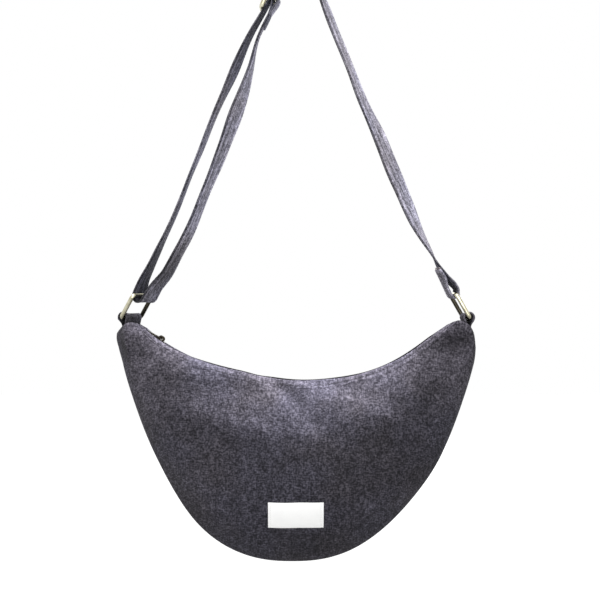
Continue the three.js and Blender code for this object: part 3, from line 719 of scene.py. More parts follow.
def ear_top(name, hand):
    """Cloth that closes the top of an ear round its anchor loop, from the outer side to the zip's end."""
    def shape(u, v):
        line = np.full(len(u), hand * (ALL_LINES - 0.1))
        share = 0.1 + 0.88 * u
        x, front_z, front_depth = skin(line, share, WALL, True)[:3]
        back_z, back_depth = skin(line, share, WALL, False)[1:3]
        y = -front_depth + (front_depth + back_depth) * v
        z = front_z + (back_z - front_z) * v - EAR_TOP_DROP - EAR_TOP_SAG * np.sin(math.pi * v)
        return hung(x, y, z)

    def tone(u, v):
        return np.full(len(u), EAR_TOP_TONE)

    piece = cloth_grid(name, 24, 24, shape, flat_cloth(EAR_TOP_SIZE, EAR_TOP_DEPTH), {"tone": tone})
    thicken(piece, 1.0, -1)
    return dress(piece, PANEL_DENIM, "bag")


ear_top("left_ear_top", -1)
ear_top("right_ear_top", 1)

LINING_DROP = 9.0
LINING_INSET = 2.5
LINING_CLEARANCE = 0.5
LINING_WIDTH, LINING_HEIGHT = 330, 190


def lining(name, front):
    """A loose inner bag of plain cotton, with its top edge below the hem."""
    sign = -1 if front else 1

    def shape(u, v):
        line = (u * 2 - 1) * (BODY_LINES - 0.2)
        top = 1 - LINING_DROP / line_length(line, front)
        x, z, depth = skin(line, v ** 1.3 * top, LINING_INSET, front)[:3]
        return hung(x, sign * np.maximum(depth - LINING_CLEARANCE, 0.1), z)

    piece = cloth_grid(name + "_cloth", 120, 30, shape, flat_cloth(LINING_WIDTH, LINING_HEIGHT))
    thicken(piece, 0.5, -1)
    return dress(piece, LINING_COTTON, "bag", [name])


lining("front_lining", True)
lining("back_lining", False)


# Strap: one band from its sewn right end, over the hook, round the left ring and back up to the adjuster.

LEFT_RING_TURN, RIGHT_RING_TURN = 28, -4
RING_LEAN = 30
LEFT_BAR_X, RIGHT_BAR_X = 12 - HALF_WIDTH, HALF_WIDTH - 8
BAR_Z = -332.5
RING_HEIGHT = 24.2
ADJUSTER_LEAN, ADJUSTER_DROP = 23.8167, 36
MIDDLE_BAR = 4.9
HOOK_CENTRE, HOOK_RADIUS = (0, 0, -9), 9.9
LOOP_RADIUS = 2.95
SLACK_RADIUS = 4.9
STRAP_HALF_WIDTH, STRAP_HALF_THICKNESS = 12.0, 0.9
STRAP_SEAM = 9.3


def fitting_seat(place, turn, lean_angle):
    """Seat of a ring or adjuster: its bar is turned about the vertical, and its frame leans to one side."""
    turn = math.radians(turn)
    slope = math.tan(math.radians(lean_angle))
    along = Vector((math.sin(turn), math.cos(turn), 0))
    up = Vector((slope, -slope * math.tan(turn), 1)).normalized()
    matrix = Matrix((along.cross(up), along, up)).transposed().to_4x4()
    matrix.translation = Vector(place) * MM
    return matrix


def level_across(turn):
    """The level direction square to a bar that is turned about the vertical."""
    return math.cos(math.radians(turn)), -math.sin(math.radians(turn)), 0


def place_on(fitting, x, y, z):
    """A place given in a fitting's own directions, in millimetres."""
    return np.array(fitting @ (Vector((x, y, z)) * MM)) / MM


def bend(centre, across, radius, start, end, turn, count=8):
    """Points round a bar: across is level and square to the bar, and angles rise from it."""
    angles = np.radians(np.linspace(start, end, count))
    at = np.array(centre) + radius * (np.outer(np.cos(angles), across) + np.outer(np.sin(angles), (0, 0, 1)))
    return [(*point, turn) for point in at]


LEFT_SEAT = fitting_seat((LEFT_BAR_X, 0, BAR_Z), LEFT_RING_TURN, RING_LEAN)
RIGHT_SEAT = fitting_seat((RIGHT_BAR_X, 0, BAR_Z), RIGHT_RING_TURN, -RING_LEAN)
run_lean = math.radians(ADJUSTER_LEAN)
hook_tangent = Vector(HOOK_CENTRE) + HOOK_RADIUS * Vector((-math.cos(run_lean), 0, math.sin(run_lean)))
adjuster_place = hook_tangent - ADJUSTER_DROP * Vector((math.sin(run_lean), 0, math.cos(run_lean)))
ADJUSTER_SEAT = fitting_seat(adjuster_place, 0, ADJUSTER_LEAN)
LEFT_ACROSS, RIGHT_ACROSS = level_across(LEFT_RING_TURN), level_across(RIGHT_RING_TURN)
left_top_bar = place_on(LEFT_SEAT, 0, 0, RING_HEIGHT)
right_top_bar = place_on(RIGHT_SEAT, 0, 0, RING_HEIGHT)
slack = left_top_bar + 2.0 * np.array(LEFT_ACROSS) - (0, 0, 0.8)

# Where the strap's stretches meet, then its route: across, depth, up, and its turn about the vertical.
RIGHT_JOIN, LEFT_JOIN, INNER_JOIN = (91.9, 0, -204.3), (-97.8, 0, -202.2), (-83.7, 0, -217.5)
STRAP_ROUTE = np.array([
    (130.2, -1.9, -288.4, -5), (134.5, -1.6, -296.2, -7), (137.7, -1.4, -305.9, -2),
    *bend(right_top_bar, RIGHT_ACROSS, LOOP_RADIUS, 211, 390, -4),
    (146.6, -0.9, -306.6, -4), (142.8, -0.9, -301.7, -9), (136.2, -1.4, -294.9, -6), (130.6, 0, -286.8, 0),
    (124.0, 0, -273.1, 11), (116.6, 0, -259.3, 20), (109.6, 0, -245.6, 29), (103.4, 0, -231.8, 34),
    (97.6, 0, -218.1, 37), (*RIGHT_JOIN, 39), (77.6, 0, -170.9, 36), (62.8, 0, -137.7, 27),
    (49.8, 0, -104.6, 22), (37.0, 0, -71.4, 22), (23.4, 0, -38.2, 19),
    *bend(HOOK_CENTRE, (1, 0, 0), HOOK_RADIUS, 23, 157, 0),
    (-23.6, 0, -37.9, 0), (-41.6, 0, -70.7, 3), (-56.6, 0, -103.6, 12), (-70.4, 0, -136.5, 4),
    (-84.4, 0, -169.4, 2), (*LEFT_JOIN, -1), (-103.4, 0, -216.2, -1), (-109.2, 0, -229.9, 0),
    (-115.0, 0, -243.6, 0), (-120.8, 0, -257.3, 1), (-126.8, 0, -271.0, 5), (-133.2, -0.8, -285.0, 8),
    (-140.2, -4.2, -300.6, 17),
    *bend(slack, LEFT_ACROSS, SLACK_RADIUS, 165, 335, 28),
    (-128.4, -7.5, -304.6, 24), (-118.4, -2.8, -292.0, 20), (-108.3, -0.6, -273.6, 18),
    (-99.1, 0, -255.2, 17), (*INNER_JOIN, 13), (-69.2, 0, -179.8, 21), (-54.4, 0, -142.1, 26),
    (-42.0, 0, -104.4, 7), (-34.4, 0, -74.0, -3), (-26.0, 0, -55.6, -2),
    *bend(place_on(ADJUSTER_SEAT, MIDDLE_BAR, 0, 0), (1, 0, 0), LOOP_RADIUS, -22.5, 200.5, 0),
    (-24.1, 0, -53.0, 0), (-29.8, 0, -65.8, 0),
])


def unit(rows):
    return rows / np.linalg.norm(rows, axis=1)[:, None]


def square_to(rows, directions):
    """Each row without its share along a unit direction, at unit length."""
    return unit(rows - directions * np.sum(rows * directions, 1)[:, None])


def added_up(steps):
    return np.concatenate([[0], np.cumsum(steps)])


def step_lengths(points):
    return np.linalg.norm(np.diff(points, axis=0), axis=1)


def read_off(places, run, rows):
    """Rows known along a run, read off at other places on it."""
    return np.stack([np.interp(places, run, rows[:, i]) for i in range(rows.shape[1])], 1)


def between(a, b, start, end, t):
    """On the way from a to b, at a time between its start and its end."""
    return (end - t) / (end - start) * a + (t - start) / (end - start) * b


def through(points, step):
    """A smooth curve through points, as evenly spaced samples."""
    knots = added_up(np.sqrt(step_lengths(points[:, :3])))
    padded = np.vstack([2 * points[0] - points[1], points, 2 * points[-1] - points[-2]])
    times = np.concatenate([[2 * knots[0] - knots[1]], knots, [2 * knots[-1] - knots[-2]]])
    samples = []
    for i in range(1, len(padded) - 2):
        p0, p1, p2, p3 = padded[i - 1:i + 3]
        t0, t1, t2, t3 = times[i - 1:i + 3]
        t = np.linspace(t1, t2, 24, endpoint=False)[:, None]
        first = between(p0, p1, t0, t1, t)
        second = between(p1, p2, t1, t2, t)
        third = between(p2, p3, t2, t3, t)
        early, late = between(first, second, t0, t2, t), between(second, third, t1, t3, t)
        samples.append(between(early, late, t1, t2, t))
    samples = np.vstack(samples + [points[-1:]])
    run = added_up(step_lengths(samples[:, :3]))
    even = np.linspace(0, run[-1], int(run[-1] / step) + 1)
    return even, read_off(even, run, samples)


class Band:
    """The centre line of a flat band with its width and face directions."""

    def __init__(self, route, step=1.2):
        self.run, samples = through(route, step)
        self.centre = samples[:, :3]
        tangent = unit(np.gradient(self.centre, axis=0))
        turn = np.radians(samples[:, 3])
        self.width = square_to(np.stack([np.sin(turn), np.cos(turn), np.zeros(len(turn))], 1), tangent)
        self.face = unit(np.cross(self.width, tangent))

    def at(self, run):
        return tuple(read_off(run, self.run, rows) for rows in (self.centre, self.width, self.face))

    def nearest(self, point, start=0.0, end=np.inf):
        """The run at which the band comes nearest to a point."""
        inside = (self.run >= start) & (self.run <= end)
        distance = np.where(inside, np.linalg.norm(self.centre - np.array(point), axis=1), np.inf)
        return self.run[np.argmin(distance)]


def band_section():
    """Once round a folded band, back to its start: across it, and through it, with its stitched grooves."""
    seam, edge = STRAP_SEAM, STRAP_HALF_WIDTH
    places = np.array([0, 1.5, 3, 4.5, 6, 7.2, seam - 1.2, seam - 0.5, seam, seam + 0.5, seam + 1.1,
                       edge - 0.8, edge - 0.25, edge])
    depth = STRAP_HALF_THICKNESS + bumps(places, ((-0.28, seam, 0.45), (0.12, seam + 1.5, 0.8)))
    corner = np.clip((places - (edge - 0.9)) / 0.9, 0, 1)
    depth *= np.sqrt(np.maximum(1 - corner ** 2, 0))
    across = np.concatenate([-places[:0:-1], places, places[-2:0:-1], -places])
    through_wall = np.concatenate([depth[:0:-1], depth, -depth[-2:0:-1], -depth[:-1], depth[-1:]])
    return across, through_wall


BAND_ACROSS, BAND_THROUGH = band_section()
BAND_AROUND = len(BAND_ACROSS) - 1
BAND_CUP = ((0.5, 27, 0), (0.35, 11, 2))
BAND_WAVE = ((0.22, 6.1, 0), (0.25, 15, 1))
# A pale line along the fold and a painted shadow beside it: height, place across, half width.
BAND_FOLD_LINE_AND_SHADOW = ((0.32, -7.4, 1.9), (-0.34, -3.0, 2.2))
REVERSE_CLOTH_OFFSET = 40
FLARE_LOW, FLARE_HIGH = -340.0, -334.0


def band_piece(name, band, start, end, tone_of, inside_of, waviness=1.0, step=1.5, flare=0.0):
    """A stretch of band with stitched edges; flare opens its near edge like a bell."""
    edge = STRAP_HALF_WIDTH

    def place_in(u, v):
        return np.rint(u * BAND_AROUND).astype(int), start + v * (end - start)

    def shape(u, v):
        index, run = place_in(u, v)
        centre, width, face = band.at(run)
        w = BAND_ACROSS[index]
        edge_share = (w / edge) ** 2
        cup = waviness * ripple(run, BAND_CUP) * edge_share
        wave_out = waviness * ripple(run, BAND_WAVE) * np.sign(w) * edge_share
        pucker = 0.10 * waviness * np.sin(run * 2 * math.pi / STITCH_PITCH) * bump_at(np.abs(w), 10.4, 1.6)
        open_out = flare * ramped(-w, 3, edge) * ramped(centre[:, 2], FLARE_LOW, FLARE_HIGH)
        sideways = w + wave_out - open_out
        outward = BAND_THROUGH[index] * (1 + pucker) + cup + 0.8 * open_out
        return centre + width * sideways[:, None] + face * outward[:, None]

    def cloth(u, v):
        index, run = place_in(u, v)
        side = np.where(index <= BAND_AROUND // 2, 0, REVERSE_CLOTH_OFFSET)
        return np.stack([BAND_ACROSS[index] + side, run], 1)

    def tone(u, v):
        """Painted shade on the near edge, painted light on the far edge, a pale line along the fold with a
        painted shadow beside it, and darker lines along the seams.
        """
        index, run = place_in(u, v)
        w = BAND_ACROSS[index]
        sewn_end = ramped(run, 55, 20)
        # Painted shade on the near edge, except at the sewn end, and painted light on the far edge, most at
        # the sewn end.
        near = 1 - 0.75 * (1 - sewn_end) * ramped(-w, edge - 2.8, edge - 1.0)
        far = 0.9 + 0.3 * ramped(w, 2, edge) + 0.7 * sewn_end * ramped(w, edge - 5, edge - 1)
        lines = bumps(w, BAND_FOLD_LINE_AND_SHADOW) - 0.14 * bump_at(np.abs(w), STRAP_SEAM, 0.6)
        unevenness = 0.75 + 0.25 * np.sin(run / 17 + np.sin(run / 41))
        return tone_of(run) * (near * far + lines * unevenness)

    def inside(u, v):
        index, run = place_in(u, v)
        return (BAND_THROUGH[index] < -0.1) * inside_of(run)

    return cloth_grid(name, BAND_AROUND, int((end - start) / step), shape, cloth,
                      {"tone": tone, "inside": inside}, closed=True)


strap = Band(STRAP_ROUTE)
RIGHT_SPLIT = strap.nearest(RIGHT_JOIN, 0, 300)
LEFT_SPLIT = strap.nearest(LEFT_JOIN, 300, 800)
INNER_SPLIT = strap.nearest(INNER_JOIN, LEFT_SPLIT + 120)
HOOK_RUN = strap.nearest((0, 0, 0.9), 300, 700)
LEFT_RING_RUN = strap.nearest(slack - (0, 0, SLACK_RADIUS))


# Paler or darker stretches of the strap: how much, where along it, and half how long.
# The dark stretch round the left ring is painted shade.
STRAP_PALE_AND_DARK = (
    (-0.65, 0, 45), (1.1, 0, 2.2), (-0.45, RIGHT_SPLIT + 8, 40), (0.7, LEFT_SPLIT - 20, 75),
    (-0.5, LEFT_RING_RUN + 15, 62), (-0.35, INNER_SPLIT + 50, 24),
)


def strap_tone(run):
    """Pale on the right run and half way down the left one, dark on the sewn end, and with painted shade
    round the left ring.
    """
    right_run = 0.42 * ramped(run, HOOK_RUN, HOOK_RUN - 80)
    # Painted shade past the left ring.
    past_ring_shade = -0.3 * ramped(run, LEFT_RING_RUN, LEFT_RING_RUN + 60)
    inner_run = 0.62 * ramped(run, LEFT_RING_RUN + 30, LEFT_RING_RUN + 95)
    return 1.0 + right_run + past_ring_shade + inner_run + bumps(run, STRAP_PALE_AND_DARK)


def strap_inside(run):
    """How much painted shade shows on the cloth's other side: all of it near the fittings, less half way down
    the left side.
    """
    return 1.0 - 0.62 * bump_at(run, (HOOK_RUN + LEFT_RING_RUN) / 2 + 10, 85)


def strap_stretch(name, start, end, body, node):
    piece = band_piece(name, strap, start, end, strap_tone, strap_inside)
    return dress(piece, STRAP_DENIM, body, [node])


strap_right = strap_stretch("strap_right_cloth", 0, RIGHT_SPLIT, None, "strap_right_end")
strap_stretch("strap_shoulder_cloth", RIGHT_SPLIT, LEFT_SPLIT, "bag", "strap_shoulder")
strap_left = strap_stretch("strap_left_cloth", LEFT_SPLIT, INNER_SPLIT, None, "strap_left_loop")
strap_inner = strap_stretch("strap_inner_cloth", INNER_SPLIT, strap.run[-1], None, "strap_left_loop")

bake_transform(strap_right)
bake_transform(strap_left)
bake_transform(strap_inner)


# Rings and adjuster, bent from round wire

RING_HALF = 15.1
RING_BEND = 2.8
WIRE = 4.0
ADJUSTER_HALF = 14
END_BARS = -2.8
MIDDLE_BAR_BEND = 2.0
# Painted shade on the rings: on the far bar, which stands in shade, and on the wire's lower side, for a dark
# reflection.
FAR_PAINTED_SHADE, UNDER_PAINTED_SHADE = 0.96, 0.6


def wire_from(piece, thickness=WIRE):
    """Turns a piece's edges into round wire."""
    only(piece)
    bpy.ops.object.convert(target="CURVE")
    piece = bpy.context.object
    piece.data.bevel_depth = thickness / 2
    piece.data.bevel_resolution = 6
    bpy.ops.object.convert(target="MESH")
    piece = bpy.context.object
    edit_all(piece)
    bpy.ops.mesh.remove_doubles(threshold=0.001)
    bpy.ops.mesh.normals_make_consistent(inside=False)
    done()
    smooth(piece, 60)
    return piece


def bent_wire(name, bottom, top, offset=0.0):
    """A rectangle of wire in the YZ plane, made at the origin in millimetres."""
    piece = made(name, bpy.ops.mesh.primitive_plane_add, (top - bottom, 2 * RING_HALF, 1),
                 (offset, 0, (bottom + top) / 2), size=1, rotation=(0, math.radians(90), 0))
    edit_all(piece)
    bpy.ops.mesh.bevel(offset=RING_BEND, segments=7, affect="VERTICES")
    bpy.ops.mesh.select_all(action="SELECT")
    bpy.ops.mesh.delete(type="ONLY_FACE")
    done()
    return wire_from(piece)


def wire_staple(name, tilt, size, place, open_side, rounded_corners, corner_bend, thickness=WIRE):
    """Wire bent along three sides of a rectangle: one side is deleted and the two far corners are rounded."""
    piece = made(name, bpy.ops.mesh.primitive_plane_add, (*size, 1), place,
                 size=1, rotation=(math.radians(tilt), 0, 0))
    edit(piece, "EDGE")
    pick_edges(piece, open_side)
    bpy.ops.mesh.delete(type="EDGE")
    bpy.ops.mesh.select_mode(type="VERT")
    pick_corners(piece, rounded_corners)
    bpy.ops.mesh.bevel(offset=corner_bend, segments=5, affect="VERTICES")
    done()
    return wire_from(piece, thickness)


for side, ring_seat in (("left_ring", LEFT_SEAT), ("right_ring", RIGHT_SEAT)):
    ring = bent_wire(side + "_wire", 0, RING_HEIGHT)
    # Painted shade: the far bar and the wire's lower side are drawn dark.
    far_side_shade = [FAR_PAINTED_SHADE * float(ramped(vertex.co.y, 3, 11)) for vertex in ring.data.vertices]
    sit(ring, ring_seat)
    underside_shade = [UNDER_PAINTED_SHADE * float(ramped(-vertex.normal.z, -0.1, 0.5)) for vertex in ring.data.vertices]
    painted_shade = ring.data.attributes.new("painted_shade", "FLOAT", "POINT")
    painted_shade.data.foreach_set("value", np.maximum(far_side_shade, underside_shade))
    dress(ring, RING_BRASS, side, [side])

end_bars = bent_wire("strap_slider_wire", -ADJUSTER_HALF, ADJUSTER_HALF, END_BARS)
middle_bar = wire_staple("strap_slider_bar", 0, (MIDDLE_BAR - END_BARS, 2 * RING_HALF),
                         ((MIDDLE_BAR + END_BARS) / 2, 0, 0), lambda middle, along: middle.x < -2,
                         lambda at: at.x > 0, MIDDLE_BAR_BEND)
adjuster = joined("strap_slider_wire", end_bars, middle_bar)
sit(adjuster, ADJUSTER_SEAT)
dress(adjuster, RING_BRASS, "strap_slider", ["strap_slider"])


# Anchor loops over the rings' lower bars

LOOP_HALF_GAP = 1.1
LOOP_FOOT_Z, LOOP_NECK_Z = -346.5, -340.9
LOOP_FOOT_TURN, LOOP_NECK_TURN = 0.7, 0.9
LOOP_FLARE = 1.9


def anchor_loop(name, fitting, bar_x, turn, painted_light):
    """A folded band from inside the ear, over the ring's lower bar and back."""
    bar = place_on(fitting, 0, 0, 0)
    inner, outer = bar_x - LOOP_HALF_GAP, bar_x + LOOP_HALF_GAP
    foot_turn, neck_turn = LOOP_FOOT_TURN * turn, LOOP_NECK_TURN * turn
    route = [(outer, 0, LOOP_FOOT_Z, foot_turn), (outer, 0, LOOP_NECK_Z, neck_turn)]
    route += bend(bar, level_across(turn), LOOP_RADIUS, -35, 215, turn, 10)
    route += [(inner, 0, LOOP_NECK_Z, neck_turn), (inner, 0, LOOP_FOOT_Z, foot_turn)]
    band = Band(np.array(route, float), 0.5)
    length = band.run[-1]

    def tone_of(run):
        # Painted shade darkens the loop towards its two low ends by the ear.
        return painted_light * (0.15 + 0.85 * ramped(np.minimum(run, length - run), 5, 12))

    loop = band_piece(name + "_cloth", band, 0, length, tone_of, np.ones_like,
                      waviness=0.3, step=0.8, flare=LOOP_FLARE)
    return dress(loop, LOOP_DENIM, "bag", [name])


# The right loop is drawn paler than the left: painted light.
anchor_loop("left_anchor_loop", LEFT_SEAT, LEFT_BAR_X, LEFT_RING_TURN, 1.15)
anchor_loop("right_anchor_loop", RIGHT_SEAT, RIGHT_BAR_X, RIGHT_RING_TURN, 2.4)


# Label, bare, laid on the front

LABEL_LOW, LABEL_HIGH, LABEL_LEFT, LABEL_RIGHT = -520.1, -496.6, -25.3, 24.3
LABEL_WIDTH, LABEL_HEIGHT = 50.5, 23.5
LABEL_LIFT = 0.5
LABEL_RIPPLE = ((0.10, 4.3, 1), (0.10, 9.7, 0))
LABEL_CROWN = ((0.35, 0.5, 0.3), (-0.25, 0.045, 0.016), (-0.25, 0.955, 0.016))


def front_depth_at(x, z):
    """Depth of the front's outer face at a place seen from the front, found by halving."""
    low = np.full(np.shape(x), -float(BODY_LINES))
    high = np.full(np.shape(x), float(BODY_LINES))
    for _ in range(36):
        line = (low + high) / 2
        seam_x, seam_z, mouth_x, mouth_z = rim(line, True)[:4]
        share = (z - seam_z) / (mouth_z - seam_z)
        left = (seam_x + (mouth_x - seam_x) * share) * slim(z) < x - lean(z)
        low, high = np.where(left, line, low), np.where(left, high, line)
    return skin(low, share, 0.0, True)[2]


def label_shape(u, v):
    """Rippled along its edges, crowned in the middle and held down at its two sewn ends."""
    x = LABEL_LEFT + (LABEL_RIGHT - LABEL_LEFT) * u
    z = LABEL_LOW + (LABEL_HIGH - LABEL_LOW) * v
    z = z + ripple(x, LABEL_RIPPLE) * (0.4 + 0.6 * np.abs(2 * v - 1))
    return np.stack([x, -front_depth_at(x, z) - LABEL_LIFT - bumps(u, LABEL_CROWN), z], 1)


label = cloth_grid("label_cloth", 72, 30, label_shape, flat_cloth(LABEL_WIDTH, LABEL_HEIGHT))
thicken(label, 0.6, 1)
round_edges(label, 0.18 * MM, 2)
smooth(label, 50)
dress(label, LABEL_COTTON, "bag", ["label"])


# Zip

ZIP_RECESS = 2.6
ZIP_SINK = 1.9
ZIP_RADIUS = MOUTH_RADIUS + ZIP_RECESS
TAPE_ANGLE = MOUTH_ANGLE - 3 / ZIP_RADIUS
COIL_ANGLE = TAPE_ANGLE - 11 / ZIP_RADIUS
TAPE_INNER, TAPE_WIDTH, TAPE_LENGTH = 2.2, 9.6, 310
TAPE_CLOTH_WIDTH = 9
FRONT_LIP, BACK_LIP, END_LIP = 1.3, -0.6, 1.8
COIL_MIDDLE = 1.85
TOOTH_SIZE = (0.52, 1.05, 1.1)
TOOTH_HOOK = 0.22
TOOTH_STEPS = 226


def on_zip(angle, y, lift):
    """Places on the zip's arc, raised above the middle of the coil as drawn in the CAD."""
    reach = ZIP_RADIUS - lift
    return np.stack([reach * np.sin(angle), y, MOUTH_CENTRE_Z - reach * np.cos(angle)], 1)


def zip_tape(name, sign):
    """Sewn under the hem at its outer edge, sunk at the coil."""
    def shape(u, v):
        angle = (2 * v - 1) * TAPE_ANGLE
        hem = mouth_lift(ZIP_RADIUS * np.sin(angle), sign < 0) + ZIP_RECESS
        lip = hem + (FRONT_LIP if sign < 0 else BACK_LIP)
        lip = lip - END_LIP * ramped(np.abs(angle), TAPE_ANGLE - 0.1, TAPE_ANGLE)
        sewn = ramped(u, 0.35, 1.0)
        lift = lip * sewn - ZIP_SINK * (1 - sewn) + 0.25 * np.sin(angle * 90) * u * (1 - u)
        at = on_zip(angle, sign * (TAPE_INNER + TAPE_WIDTH * u), lift)
        at[:, 0] += lean(at[:, 2]) * sewn
        return at

    tape = cloth_grid(name + "_cloth", 14, 190, shape, flat_cloth(TAPE_CLOTH_WIDTH, TAPE_LENGTH))
    thicken(tape, 0.7, 0)
    return dress(tape, ZIP_TAPE, "bag", [name])


def zip_coil(name, sign):
    """One hooked tooth, repeated along the arc."""
    coil = made(name + "_teeth", bpy.ops.mesh.primitive_uv_sphere_add, TOOTH_SIZE,
                segments=8, ring_count=6, radius=1)
    edit(coil, "VERT")
    pick_corners(coil, lambda at: at.y * sign < -0.4)
    bpy.ops.transform.translate(value=(TOOTH_HOOK, 0, 0))
    done()
    middle = (0, 0, MOUTH_CENTRE_Z)
    down = Matrix.Translation((0, sign * COIL_MIDDLE, -ZIP_RADIUS - ZIP_SINK))
    coil.data.transform(Matrix.Translation(middle) @ Matrix.Rotation(COIL_ANGLE, 4, "Y") @ down)
    edit_all(coil)
    bpy.ops.mesh.spin(steps=TOOTH_STEPS, dupli=True, angle=2 * COIL_ANGLE, center=middle, axis=(0, 1, 0))
    done()
    sit(coil, Matrix.Identity(4))
    smooth(coil, 80)
    return dress(coil, ZIP_COIL, "bag", [name])


for end, sign in (("front", -1), ("back", 1)):
    zip_tape("zip_tape_" + end, sign)
    zip_coil("zip_coil_" + end, sign)

SLIDER_SIZE = (10, 9, 1.2)
SLIDER_CORNER = 2.6
SLIDER_NARROWING = 0.72
PLATE_HEIGHT = 2.0
SLIDER_ANGLE = COIL_ANGLE - (SLIDER_SIZE[0] / 2 + 0.3) / ZIP_RADIUS
SLIDER_SHIFT = 1.5
PULL_ANGLE = math.radians(29.4)
PULL_AXIS = 3.7
PULL_SIZE = (14.6, 6, 1.2)
PULL_MIDDLE = (-6.7, 0, 0)
WINDOW_SIZE = (4.6, 2.6, 4)
WINDOW_MIDDLE = (-2.9, 0, 0)
STOP_LENGTH, STOP_HEIGHT = 3, 2.8
TOP_STOP_ANGLE = -COIL_ANGLE - 1.8 / ZIP_RADIUS
BOTTOM_STOP_ANGLE = COIL_ANGLE + 3.3 / ZIP_RADIUS

slider_place = Vector(on_zip(np.array([-SLIDER_ANGLE]), np.array([0.0]), 0.0)[0])
slider_turn = Matrix.Rotation(SLIDER_ANGLE, 4, "Y")


def slider_seat(height, angle):
    """Seat at a height over the coil, where the slider has settled with the sunk zip."""
    settled = slider_turn @ Vector((SLIDER_SHIFT, 0, height - ZIP_SINK))
    return Matrix.Translation((slider_place + settled) * MM) @ Matrix.Rotation(angle, 4, "Y")


def block(name, size, centre):
    return made(name, bpy.ops.mesh.primitive_cube_add, size, centre, size=1)


def round_uprights(piece, width, segments, test=lambda middle: True):
    """In edit mode, rounds the upright edges whose middle passes a test, and any face that is selected."""
    pick_edges(piece, lambda middle, along: abs(along.z) > 0.9 and test(middle))
    bpy.ops.mesh.bevel(offset=width, segments=segments, affect="EDGES")


def slider_plate(name, height):
    """A plate whose corners are rounded before it is made narrower."""
    plate = block(name, SLIDER_SIZE, (0, 0, height))
    edit(plate, "EDGE")
    round_uprights(plate, SLIDER_CORNER, 4)
    bpy.ops.mesh.select_all(action="SELECT")
    bpy.ops.transform.resize(value=(1, SLIDER_NARROWING, 1))
    done()
    return plate


def zip_fitting(piece, width, segments, seat, body, node):
    """Rounds a metal fitting that was modelled in millimetres, and puts it in its seat."""
    round_edges(piece, width, segments)
    sit(piece, seat)
    smooth(piece, 50)
    return dress(piece, ZIP_METAL, body, [node])


top_plate = slider_plate("zip_slider_body", PLATE_HEIGHT)
under_plate = slider_plate("zip_slider_under", -PLATE_HEIGHT)
post = block("zip_slider_post", (4, 1.0, 4), (0, 0, 0))
bridge = wire_staple("zip_slider_bridge", 90, (4.2, 3.0), (0, 0, 3.8), lambda middle, along: middle.z < 2.5,
                     lambda at: at.z > 4, 1.3, 2.3)
slider = joined("zip_slider_body", top_plate, under_plate, post, bridge)
zip_fitting(slider, 0.25, 2, slider_seat(0, SLIDER_ANGLE), "zip_slider", "zip_slider")

pull = block("zip_pull_tab", PULL_SIZE, PULL_MIDDLE)
edit(pull, "EDGE")
round_uprights(pull, 2.6, 6, lambda middle: middle.x < -6)
# The faces of the rounded end are still selected, so the second rounding goes over them too.
round_uprights(pull, 0.9, 3, lambda middle: middle.x > 0)
done()
window = block("zip_pull_window", WINDOW_SIZE, WINDOW_MIDDLE)
edit(window, "EDGE")
round_uprights(window, 0.5, 3)
done()
modify(pull, "BOOLEAN", object=window, operation="DIFFERENCE", solver="EXACT")
zip_fitting(pull, 0.28, 2, slider_seat(PULL_AXIS, PULL_ANGLE), "zip_pull", "zip_pull")
bpy.data.objects.remove(window)

for name, angle, y, width in (("zip_top_stop_front", TOP_STOP_ANGLE, -COIL_MIDDLE, 2.1),
                              ("zip_top_stop_back", TOP_STOP_ANGLE, COIL_MIDDLE, 2.1),
                              ("zip_bottom_stop", BOTTOM_STOP_ANGLE, 0.0, 5.8)):
    stop = block(name + "_metal", (STOP_LENGTH, width, STOP_HEIGHT), (0, 0, 0))
    place = Vector(on_zip(np.array([angle]), np.array([y]), -ZIP_SINK)[0])
    stop_seat = Matrix.Translation(place * MM) @ Matrix.Rotation(-angle, 4, "Y")
    zip_fitting(stop, 0.5, 3, stop_seat, "bag", name)


# Stitches: short threads lying on the cloth

def stitches(name, places, directions, outs, material, body, length=2.5, thickness=0.55):
    """One thread is modelled and copied along the given places."""
    piece = made(name, bpy.ops.mesh.primitive_uv_sphere_add, (thickness, thickness, length),
                 segments=6, ring_count=6, radius=0.5)
    one = np.array([vertex.co for vertex in piece.data.vertices])
    faces = [list(face.vertices) for face in piece.data.polygons]
    vertices, polygons = [], []
    for at, along, out in zip(places, directions, outs):
        basis = np.stack([np.cross(out, along), out, along])
        polygons += [[index + len(vertices) * len(one) for index in face] for face in faces]
        vertices.append((one @ basis + at) * MM)
    mesh = bpy.data.meshes.new(name)
    mesh.from_pydata(np.concatenate(vertices).tolist(), [], polygons)
    piece.data = mesh
    smooth(piece, 80)
    return dress(piece, material, body)


def hem_stitches(name, front):
    """A row of stitches along the hem, from ear to ear."""
    sign = -1 if front else 1
    lines = np.linspace(-16.2, 16.2, 1200)
    mouth_x = rim(lines, front)[2]
    share = 1 - stitch_line(mouth_x) / line_length(lines, front)
    x, z, depth = skin(lines, share, 0.0, front)[:3]
    path = hung(x, sign * (depth + 0.35), z)
    run = added_up(step_lengths(path))
    marks = np.arange(2, run[-1] - 2, STITCH_PITCH)
    at = read_off(marks, run, path)
    along = unit(read_off(marks + 0.6, run, path) - at)
    out = square_to(np.tile([0.0, sign, 0.15], (len(at), 1)), along)
    return stitches(name, at, along, out, GREY_THREAD, "bag")


